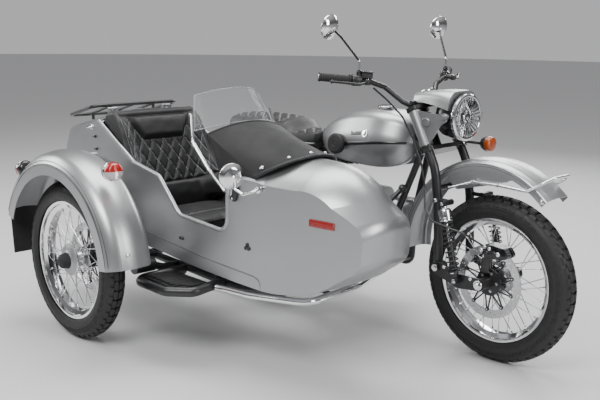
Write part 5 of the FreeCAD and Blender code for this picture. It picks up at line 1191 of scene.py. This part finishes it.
# ---------------------------------------------------------------- controls and mirrors on the bar
GRIP_IN, GRIP_OUT = np.array((835.0, 312.0, 1131.0)), np.array((760.0, 430.0, 1143.0))
GRIP_WAY, GRIP_SPAN = unit(GRIP_OUT - GRIP_IN), np.linalg.norm(GRIP_OUT - GRIP_IN)
GRIP_UP = unit(np.array((0, 0, 1.0)) - GRIP_WAY * GRIP_WAY[2])
GRIP_BACK = unit(np.cross(GRIP_UP, GRIP_WAY))
GRIP_RIBS, RIB_STEP = 11, 10
UPRIGHT = (0, 0, 1)


def along_grip(share):
    return GRIP_IN + (GRIP_OUT - GRIP_IN) * share


def grip_and_switches(form):
    profile = [(8, 11.5), (8, 20), (10, 21.8), (14, 21.8), (16, 20), (17, 16.6)]
    for a in 22 + np.arange(GRIP_RIBS) * RIB_STEP:
        profile += [(a, 16.9), (a + 1.2, 15.6), (a + 3.2, 15.6), (a + 4.4, 16.9)]
    end = GRIP_SPAN
    profile += [(end - 6, 16.6), (end - 4, 18.6), (end + 1, 18.6), (end + 3, 16), (end + 3, 0)]
    form.turned(profile, GRIP_IN, GRIP_WAY, RUBBER, 40)
    form.turned([(end + 2, 12), (end + 5, 11), (end + 6, 8), (end + 6, 0)], GRIP_IN, GRIP_WAY, STEEL, 28)
    form.turned([(-38, 11.5), (-38, 20), (-35, 23), (-20, 24), (-19, 23.2), (-17, 23.2), (-16, 24),
                 (-2, 24), (2, 22.5),
                 (4, 20), (4, 11.5)], GRIP_IN, GRIP_WAY, PLASTIC, 48)
    housing, axes = along_grip(-0.12), [GRIP_WAY, GRIP_BACK, GRIP_UP]
    face = housing + GRIP_BACK * 23.4
    form.block(housing + GRIP_BACK * 18 + GRIP_UP * 2, (30, 12, 30), PLASTIC, 4, axes)
    form.turned([(0, 0), (0, 5.2), (3, 5.0), (3.6, 0)], face + GRIP_UP * 9, GRIP_BACK, RED_BUTTON, 20)
    form.block(housing + GRIP_BACK * 25 - GRIP_UP * 4, (14, 5, 5), BLACK_GLOSS, 1.4, axes)
    form.turned([(0, 0), (0, 4.4), (2.4, 4.2), (3, 0)], face - GRIP_UP * 12, GRIP_BACK, BLACK_GLOSS, 18)


def hand_lever(form, clamp):
    """Lever bracket with its pivot, and the blade with a ball end."""
    root = GRIP_IN + (62, -26, -8)
    form.turned([(-8, 11.5), (-8, 16), (-6, 17), (6, 17), (8, 16), (8, 11.5)], clamp, GRIP_WAY, PLASTIC, 36)
    form.tube([clamp, (clamp + root) / 2 + (4, 0, 1), root], [12, 10.5, 10], PLASTIC, 14)
    form.turned([(-11, 0), (-11, 10.5), (-9, 11.5), (9, 11.5), (11, 10.5), (11, 0)], root, UPRIGHT, PLASTIC,
                32)
    form.turned([(0, 0), (0, 5.5), (2.5, 5.2), (3.2, 0)], root + (0, 0, 11), UPRIGHT, CHROME, 20)
    end, bend = GRIP_OUT + (66, -8, -16), GRIP_IN + (52, 16, -14)
    blade = smooth_line([root, (root + bend) / 2 + (3, 0, 0), bend, bend * 0.55 + end * 0.45 + (3.5, 0, 0),
                         end], 8)
    radius = np.interp(np.linspace(0, 1, len(blade)), [0, 0.2, 0.75, 1], [7.6, 5.6, 5.2, 4.6])
    form.tube(blade, radius, LEVER, 14)
    form.turned([(-8, 0), (-6.6, 4.4), (-3, 7.3), (0, 8), (3, 7.3), (6.6, 4.4), (8, 0)], end, GRIP_WAY,
                LEVER, 24)


def brake_reservoir(form, clamp):
    spot = along_grip(-0.395) + (6, 0, 22)
    axes = [GRIP_WAY, -GRIP_BACK, GRIP_UP]
    form.block(spot, (46, 34, 26), PLASTIC, 4, axes)
    form.block(spot + GRIP_UP * 15, (50, 38, 5), PLASTIC, 1.6, axes)
    for a, b in product((-20, 20), (-14, 14)):
        form.dome(spot + GRIP_UP * 17.4 + GRIP_WAY * a + GRIP_BACK * b, GRIP_UP, 2.6, 1.4, STEEL, 12, 4)
    form.turned([(0, 0), (0, 6.4), (1.2, 6.0), (1.2, 0)], spot + GRIP_BACK * 17 - GRIP_UP * 2, GRIP_BACK,
                SIGHT_GLASS, 24)
    form.tube([spot - GRIP_UP * 12, clamp], 9, PLASTIC, 12)


def controls():
    whole, reservoir = Form(), Form()
    grip_and_switches(whole)
    hand_lever(whole, along_grip(-0.40))
    brake_reservoir(reservoir, along_grip(-0.40))
    whole.take_mirrored(whole).take_mirrored(reservoir)
    whole.build("bar_grips_and_levers", "fork", "rubber_black", 35, ["bar_controls"])


def mirror_pair():
    form = Form()
    base, joint, head = (np.array(p) for p in ((850, 289, 1153.5), (783, 330, 1303), (742, 360, 1343)))
    axis, radius, deep = unit((0.86, -0.10, -0.16)), 52, 27
    path = round_path([base + (0, 0, 2), base + (0, 0, 55), joint, head + (joint - head) * 0.18 + axis * 8],
                      14, 8)
    split = int(len(path) * 0.42)
    form.tube(path[:split + 1], 5.2, CHROME, 14)
    form.tube(path[split:], 4.8, BLACK_GLOSS, 14)
    form.turned([(0, 0), (0, 10), (2, 10.8), (9, 10.8), (11, 9), (15, 8), (18, 5.5), (18, 0)], base,
                UPRIGHT, BLACK_GLOSS, 28)
    form.turned([(0, 0), (0, 8.4), (6, 8.4), (6, 0)], base + (0, 0, 20), UPRIGHT, CHROME, 6)
    # chrome shell with its rolled rim, the flat glass, and the ball joint behind
    form.turned([(1.5, radius - 3.5), (0, radius - 1.5), (0.6, radius), (3, radius + 0.6), (7, radius),
                 (deep * 0.5, radius * 0.86), (deep * 0.82, radius * 0.62), (deep * 0.97, radius * 0.3),
                 (deep, 0)],
                head, axis, CHROME, 72)
    form.turned([(1.5, radius - 3.0), (1.4, 0)], head, axis, MIRROR_FACE, 72)
    ball = head + axis * 15 + (joint - head) * 0.16
    form.turned([(-9, 0), (-7.5, 5), (-3, 8.5), (0, 9), (3, 8.5), (7.5, 5), (9, 0)], ball, axis, CHROME, 28)
    form.turned([(-3, 9.2), (0, 10.6), (3, 9.2)], ball, axis, CHROME, 28)
    form.take_mirrored(form).build("bar_mirrors", "fork", "chrome", 35, ["mirrors"])


controls()
mirror_pair()


# ---------------------------------------------------------------- small lamps
def ribbed(profile, depth):
    """Profile with moulded rings on it."""
    return [(a, r + depth * (i % 2) * (r > 4)) for i, (a, r) in enumerate(smooth_line(profile, 5))]


def turn_lamp():
    form = Form()
    lamp, axis = (1194.0, 150.0, 866.0), (1, 0, 0.02)
    form.turned([(-27, 0), (-26, 17), (-22, 24), (-12, 29), (-2, 32.5), (2, 33.2), (4, 32.0), (4, 29)],
                lamp, axis, PLASTIC, 48)
    form.turned(ribbed([(3, 31.5), (10, 31.8), (18, 31.2), (25, 28.5), (29, 20), (31, 8), (31.4, 0)], 0.5),
                lamp, axis, AMBER, 60)
    start = by_steering(-77, 78, 92)
    form.tube(round_path([start, by_steering(-77, 90, 92), (1172, 140, 866)], 8), 6.6, PLASTIC, 16)
    form.turned([(0, 0), (0, 10.5), (5, 10.5), (6, 9), (6, 0)], start - STEER_AHEAD, STEER_AHEAD, CHROME, 6)
    form.build("front_turn_lamp", "fork", "lamp_amber", replaces=["front_indicator"])


def wing_lamps():
    """Lamp ahead on the sidecar's wing, red above and clear below, and the red one behind."""
    form = Form()
    lamp, axis = np.array((352.0, -1165.0, 778.0)), unit((1, 0, 0.1))
    side, up = across(axis)
    form.turned([(-58, 0), (-52, 9), (-40, 21), (-24, 31), (-8, 37.2), (2, 38.4), (4, 38.4), (4, 36)],
                lamp, axis, PAINT, 56)
    form.turned([(3, 36), (3, 39.0), (5, 39.8), (7.5, 39.0), (8, 36.5)], lamp, axis, CHROME, 64)
    lens = ribbed([(7, 36.6), (18, 36.8), (30, 35.2), (40, 30), (46, 19), (49, 8), (49.6, 0)], 0.45)
    for start, mat in ((math.pi, RED), (0, CLEAR_LENS)):
        turn = np.linspace(start, start + math.pi, 37)
        ring = np.outer(np.cos(turn), side) + np.outer(np.sin(turn), up)
        form.grid([lamp + axis * a + ring * r for a, r in lens], mat)
    form.turned([(6, 0), (6, 33), (8, 33.5)], lamp, axis, REFLECTOR, 40)
    back, way = (-392.0, -1150.0, 690.0), (1, 0, 0.25)
    form.turned([(-20, 36.4), (-16, 37.4), (0, 37.6), (10, 35), (17, 26), (18, 0)], back, way, BLACK_GLOSS,
                56)
    form.turned(ribbed([(-18, 35.4), (-30, 35), (-42, 33), (-50, 26), (-54, 12), (-55, 0)], 0.45), back,
                way, RED, 64)
    form.turned([(-17.5, 35.8), (-19, 37.6), (-21.5, 37.0), (-22, 35.6)], back, way, CHROME, 64)
    form.build("side_wing_lamps", "chassis", "lamp_red", replaces=["fender_lamps"])


def tail_lens():
    low, high = node_box("tail_lamp")
    place = (low[0] + 18, 0, low[2] * 0.45 + high[2] * 0.55)
    Form().turned(ribbed([(0, 37), (6, 37), (14, 34), (20, 24), (23, 0)], 0.4), place, (-1, 0, 0), RED,
                  56).build(
        "tail_lens", "chassis", "lamp_red")


turn_lamp()
wing_lamps()
tail_lens()


# ---------------------------------------------------------------- trim on the tub, its wing and step
TUB = skin_of(NODES["sidecar_body"], NODES["sidecar_body"].matrix_world)
TANK = skin_of(NODES["fuel_tank"], NODES["fuel_tank"].matrix_world)
PRESSING = [(175, 457), (300, 447), (450, 435), (600, 421), (720, 410), (815, 401), (845, 397), (864, 388),
            (872, 374),
            (874, 352)]
REFLECTOR_AT, REFLECTOR_SIZE = (1098, 636), (114, 28)
WING_EDGE_R, WING_CENTRE = 475, (0, 0, 345)
MAT_BARS, MAT_STEP = 19, 14.2
MIRROR_AT = np.array((745, 712))


def on_tub(x, z, y=-1300.0, way=Y_AXIS):
    """Point of the tub's skin seen along y, and its outward normal."""
    return meet(TUB, (x, y, z), way)


def skin_line(form, places, radius, mat, lift, sides):
    form.tube([p + n * lift for p, n in (on_tub(x, z) for x, z in places)], radius, mat, sides)


def panel_reflector():
    """Oblong lens on a thin base, following the nose."""
    (x0, z0), (long, high) = REFLECTOR_AT, REFLECTOR_SIZE
    rows = []
    for k in (0.0, 0.015, 0.06, 0.16, 0.3, 0.5, 0.7, 0.84, 0.94, 0.985, 1.0):
        row = []
        for share in np.linspace(0, 1, 25):
            rim = min(min(k, 1 - k) * high, min(share, 1 - share) * long)
            p, n = on_tub(x0 + long * share, z0 + high * k - share)
            row.append(p + n * (-2.0 + 9.4 * min(1.0, rim / 2.4) ** 0.5))
        rows.append(row)
    Form().grid(rows, REFLECT).build("panel_reflector", "chassis", "lamp_red", 30)


def tub_fasteners_and_pressing_shade():
    pressing, dark, latch = Form(), Form(), Form()
    line = smooth_line(PRESSING, 6)
    skin_line(pressing, line, 1.5, PAINT, 0.4, 8)
    # dark line a little below and behind the pressing: painted shade under the raised bead, built with the
    # fasteners
    skin_line(dark, line - (1.5, 3.2), 0.9, GROOVE_SHADE, 0.2, 6)
    pressing.build("panel_pressing", "chassis", "paint_silver")
    p, n = on_tub(808, 508)
    for a in (90, 210, 330):
        dark.turned([(0, 0), (0, 7.6), (3, 7.4), (4.2, 6.4), (4.2, 0)], spun(p, 10, math.radians(a)), n,
                    BLACK_GLOSS, 24)
    dark.turned([(0, 0), (0, 9), (4.5, 8.6), (5.6, 7), (5.6, 0)], p, n, BLACK_GLOSS, 28)
    p, n = on_tub(422, 476)
    dark.block(p + n * 3, (26, 8, 11), BLACK_GLOSS, 2)
    for x, z in ((-238, 832), (-229, 776)):
        p, n = on_tub(x, z)
        dark.turned([(0, 0), (0, 8), (2, 8), (3, 6), (7, 5), (8, 3), (8, 0)], p, n, BLACK_GLOSS, 24)
        dark.block(p + n * 8, (20, 4, 6), BLACK_GLOSS, 1.4)
    dark.build("tub_fasteners_and_pressing_shade", "chassis", "rubber_black")
    for y, way in ((-1300.0, (0, 1, 0)), (-100.0, (0, -1, 0))):
        p, n = on_tub(-262, 872, y, way)
        latch.turned([(0, 0), (0, 12), (2, 12), (3, 10), (8, 9), (10, 7), (10, 0)], p, n, CHROME, 28)
        latch.tube([p + n * 7 + (4, 0, 2), p + n * 8 + (-14, 0, 0), p + n * 7 + (-34, 0, -4)],
                   [6, 5.2, 3.6], CHROME, 12)
        latch.dome(p + n * 9, n, 6, 4, CHROME, 20)
    latch.build("lid_latches", "chassis", "chrome")


def side_wing_trim():
    """Dark lines of painted shade by the wing's outer edge, where it is pressed, and the bolt low at its front."""
    bead_shades, bolt = Form(), Form()
    # thin dark tubes: painted shade along the wing's pressing
    for y, inset in ((-1244.2, 52), (-1239.0, 38)):
        turn = np.radians(np.linspace(9, 158, 90))
        bead_shades.tube([spun(WING_CENTRE, WING_EDGE_R - inset, a, y) for a in turn], 1.0, GROOVE_SHADE, 6)
    bead_shades.build("side_wing_bead_shade", "chassis", "paint_silver")
    t = math.radians(14)
    out, p = spun((0, 0, 0), 1, t), spun(WING_CENTRE, WING_EDGE_R + 1.5, t, -1165)
    bolt.turned([(0, 0), (0, 9), (1.6, 9), (2.2, 7.8), (2.2, 0)], p - out * 2, out, STEEL, 24)
    bolt.dome(p, out, 5.5, 3.5, CHROME, 20)
    bolt.build("side_wing_bolts", "chassis", "chrome")


def step_mat():
    """Raised bars with rounded edges, shorter where the step narrows."""
    form = Form()
    for x in 322 + np.arange(MAT_BARS) * MAT_STEP:
        far = -998 + max(0, x - 520) * 0.75
        form.block((x, (far - 872) / 2, 319.4), (7, -far - 880, 5.6), RUBBER, 1.8)
    form.build("step_mat", "chassis", "rubber_black")


def mirror_foot():
    """Leaning rounded plate under the sidecar's mirror, with its two screws."""
    corners = [(-23, -24), (7, -36), (23, 30), (-5, 36)]
    outline = round_path(corners + corners[:1], 12)[1:-1]
    outline = np.vstack([outline, round_path([corners[1], corners[0], corners[3]], 12)[1:-1]])
    rings = []
    for share, lift in ((1.02, 0.0), (1.03, 7.6), (1.0, 9.2), (0.93, 9.8), (0.0, 10.0)):
        rings.append([p + n * lift for p, n in (on_tub(*(MIRROR_AT + spot))
                                                for spot in shrunk(outline, share))])
    form = Form().grid(rings, BLACK_GLOSS, round_v=True)
    for spot in ((-9, -22), (8, 24)):
        p, n = on_tub(*(MIRROR_AT + spot))
        form.dome(p + n * 9, n, 4.2, 2.6, CHROME, 16)
    form.build("mirror_foot", "chassis", "rubber_black")


# ---------------------------------------------------------------- trim on the tank
BAND_FROM, BAND_TO = 622, 936
BAND = [(1.0, -1.2), (0.96, 1.5), (0.6, 2.6), (0, 3.0), (-0.6, 2.6), (-0.96, 1.5), (-1.0, -1.2)]
PLATE = [(1.0, -1), (0.94, 2.6), (0.7, 3.4), (0.6, 2.2), (-0.6, 2.2), (-0.7, 3.4), (-0.94, 2.6), (-1.0, -1)]
KNEE_AT = (585.0, 139.0, 826.0)
KNEE_PAD = [(16.6, 0), (16.6, 7), (15, 8.4), (15, 11), (16.8, 12.5), (16.8, 23), (15.2, 24.5), (15.2, 27.5),
            (16.4, 29),
            (16, 37), (13.5, 42.5), (9, 45.5), (1, 46.5), (-9, 45)]


def tank_strip(side, spots, section):
    """Rows across a strip on the tank's flank; spots are (x, z, half width), section (share, lift)."""
    rows = []
    for x, z, half in spots:
        row = [meet(TANK, (x, 300 * side, z + half * share), (0, -side, 0)) for share, _ in section]
        rows.append([p + n * lift for (p, n), (_, lift) in zip(row, section)])
    return np.array(rows)


def tank_trim():
    """Dark band and bright plate on each flank of the tank, grooved rubbers on its knee pads."""
    form, rubbers = Form(), Form()
    share = np.linspace(0, 1, 41)
    band = np.stack([BAND_FROM + (BAND_TO - BAND_FROM) * share, 829 + 30 * np.sin(share * math.pi / 2) ** 1.2,
                     8.5 - 3.5 * share], 1)
    share = np.linspace(0, 1, 15)
    plate = np.stack([668 + 74 * share, 881 + 8 * share, 9 - 2.5 * share], 1)
    for side in (-1, 1):
        form.grid(tank_strip(side, band, BAND), BLACK_GLOSS)
        rows = tank_strip(side, plate, PLATE)
        for columns, mat in ((rows[:, :4], CHROME), (rows[:, 3:5], BLACK_GLOSS), (rows[:, 4:], CHROME)):
            form.grid(columns, mat)
        middle, way = meet(TANK, (752, 300 * side, 888), (0, -side, 0))
        form.turned([(5.8, 0), (5.2, 9), (4.2, 14), (4.6, 16), (3, 17.5), (0, 17.5), (0, 0)],
                    middle - way * 1.5, way,
                    CHROME, 40)
        rubbers.turned(KNEE_PAD, np.array(KNEE_AT) * (1, side, 1), (0.02, side, 0.06), RUBBER, 72)
    form.build("tank_band_and_plates", "chassis", "chrome")
    rubbers.build("knee_pad_rubbers", "chassis", "rubber_black")


panel_reflector()
tub_fasteners_and_pressing_shade()
side_wing_trim()
step_mat()
mirror_foot()
tank_trim()


# ---------------------------------------------------------------- stage
ROOM = [
    # share of the height from below to overhead, brightness: dark round the horizon for the metal to mirror
    (0.0, 0.42), (0.49, 0.30), (0.53, 0.13), (0.62, 0.16), (0.74, 0.42), (0.88, 0.75), (1.0, 0.95)]
LIGHTS = [
    # name, place in metres, aim, size x, size y, power
    ("key", (1.2, -3.6, 4.0), (0.2, 0, 0.5), 2.6, 1.8, 190),
    ("top", (-0.6, 0.4, 4.2), (0, 0, 0.4), 3.4, 2.4, 190),
    ("left", (-4.5, -2.4, 2.6), (-0.2, 0, 0.5), 1.6, 2.2, 110),
    ("front", (4.6, 0.4, 2.4), (0.4, 0, 0.6), 1.2, 2.4, 95),
    ("back", (-1.5, 4.8, 3.0), (0, 0, 0.6), 3.0, 1.4, 120),
]
CAMERA_AT = (3349.0, -3000.0, 1375.5)     # in the vehicle's millimetres
CAMERA_YAW, CAMERA_PITCH, CAMERA_ROLL = 46.32, 11.55, 0.78
CAMERA_LENS = 53.34


def floor():
    bpy.ops.mesh.primitive_circle_add(vertices=96, radius=30, fill_type="NGON")
    plane = bpy.context.object
    plane.name = "floor"
    plane.data.materials.append(Look("pale_floor", (0.60, 0.60, 0.605), 0.6).mat)


def room():
    """Soft room for the metal to mirror; to the camera it is one pale colour."""
    world = bpy.data.worlds.new("studio")
    bpy.context.scene.world = world
    world.use_nodes = True
    nodes, link = world.node_tree.nodes, world.node_tree.links.new
    split, height = nodes.new("ShaderNodeSeparateXYZ"), nodes.new("ShaderNodeMapRange")
    height.inputs["From Min"].default_value = -1.0
    link(nodes.new("ShaderNodeTexCoord").outputs["Generated"], split.inputs[0])
    link(split.outputs["Z"], height.inputs["Value"])
    ramp = nodes.new("ShaderNodeValToRGB")
    link(height.outputs["Result"], ramp.inputs["Fac"])
    stops = ramp.color_ramp.elements
    for k, (position, v) in enumerate(ROOM):
        stop = stops[0] if k == 0 else stops[-1] if k == len(ROOM) - 1 else stops.new(position)
        stop.position, stop.color = position, (v, v, v * 1.02, 1)
    mirrored_room, seen = nodes["Background"], nodes.new("ShaderNodeBackground")
    link(ramp.outputs["Color"], mirrored_room.inputs["Color"])
    mirrored_room.inputs["Strength"].default_value = 0.75
    seen.inputs["Color"].default_value = (0.62, 0.62, 0.63, 1)
    seen.inputs["Strength"].default_value = 0.8
    mix = nodes.new("ShaderNodeMixShader")
    link(nodes.new("ShaderNodeLightPath").outputs["Is Camera Ray"], mix.inputs[0])
    link(mirrored_room.outputs[0], mix.inputs[1])
    link(seen.outputs[0], mix.inputs[2])
    link(mix.outputs[0], nodes["World Output"].inputs["Surface"])


def lights():
    for name, place, aim, size_x, size_y, power in LIGHTS:
        data = bpy.data.lights.new(name, "AREA")
        data.shape, data.size, data.size_y, data.energy = "RECTANGLE", size_x, size_y, power
        lamp = add_object(name, data)
        lamp.location = place
        lamp.rotation_euler = (Vector(aim) - Vector(place)).to_track_quat("-Z", "Y").to_euler()


def camera():
    yaw, pitch, roll = (math.radians(a) for a in (CAMERA_YAW, CAMERA_PITCH, CAMERA_ROLL))
    look = Vector((-math.sin(yaw) * math.cos(pitch), math.cos(yaw) * math.cos(pitch), -math.sin(pitch)))
    right = Vector((math.cos(yaw), math.sin(yaw), 0))
    up = right.cross(look)
    x = right * math.cos(roll) + up * math.sin(roll)
    y = up * math.cos(roll) - right * math.sin(roll)
    data = bpy.data.cameras.new("camera")
    data.lens, data.sensor_width, data.clip_end = CAMERA_LENS, 36.0, 100
    cam = add_object("camera", data)
    turned = Matrix((x, y, -look)).transposed().to_4x4()
    cam.matrix_world = Matrix.Translation(Vector(to_m(CAMERA_AT))) @ turned
    bpy.context.scene.camera = cam


floor()
room()
lights()
camera()
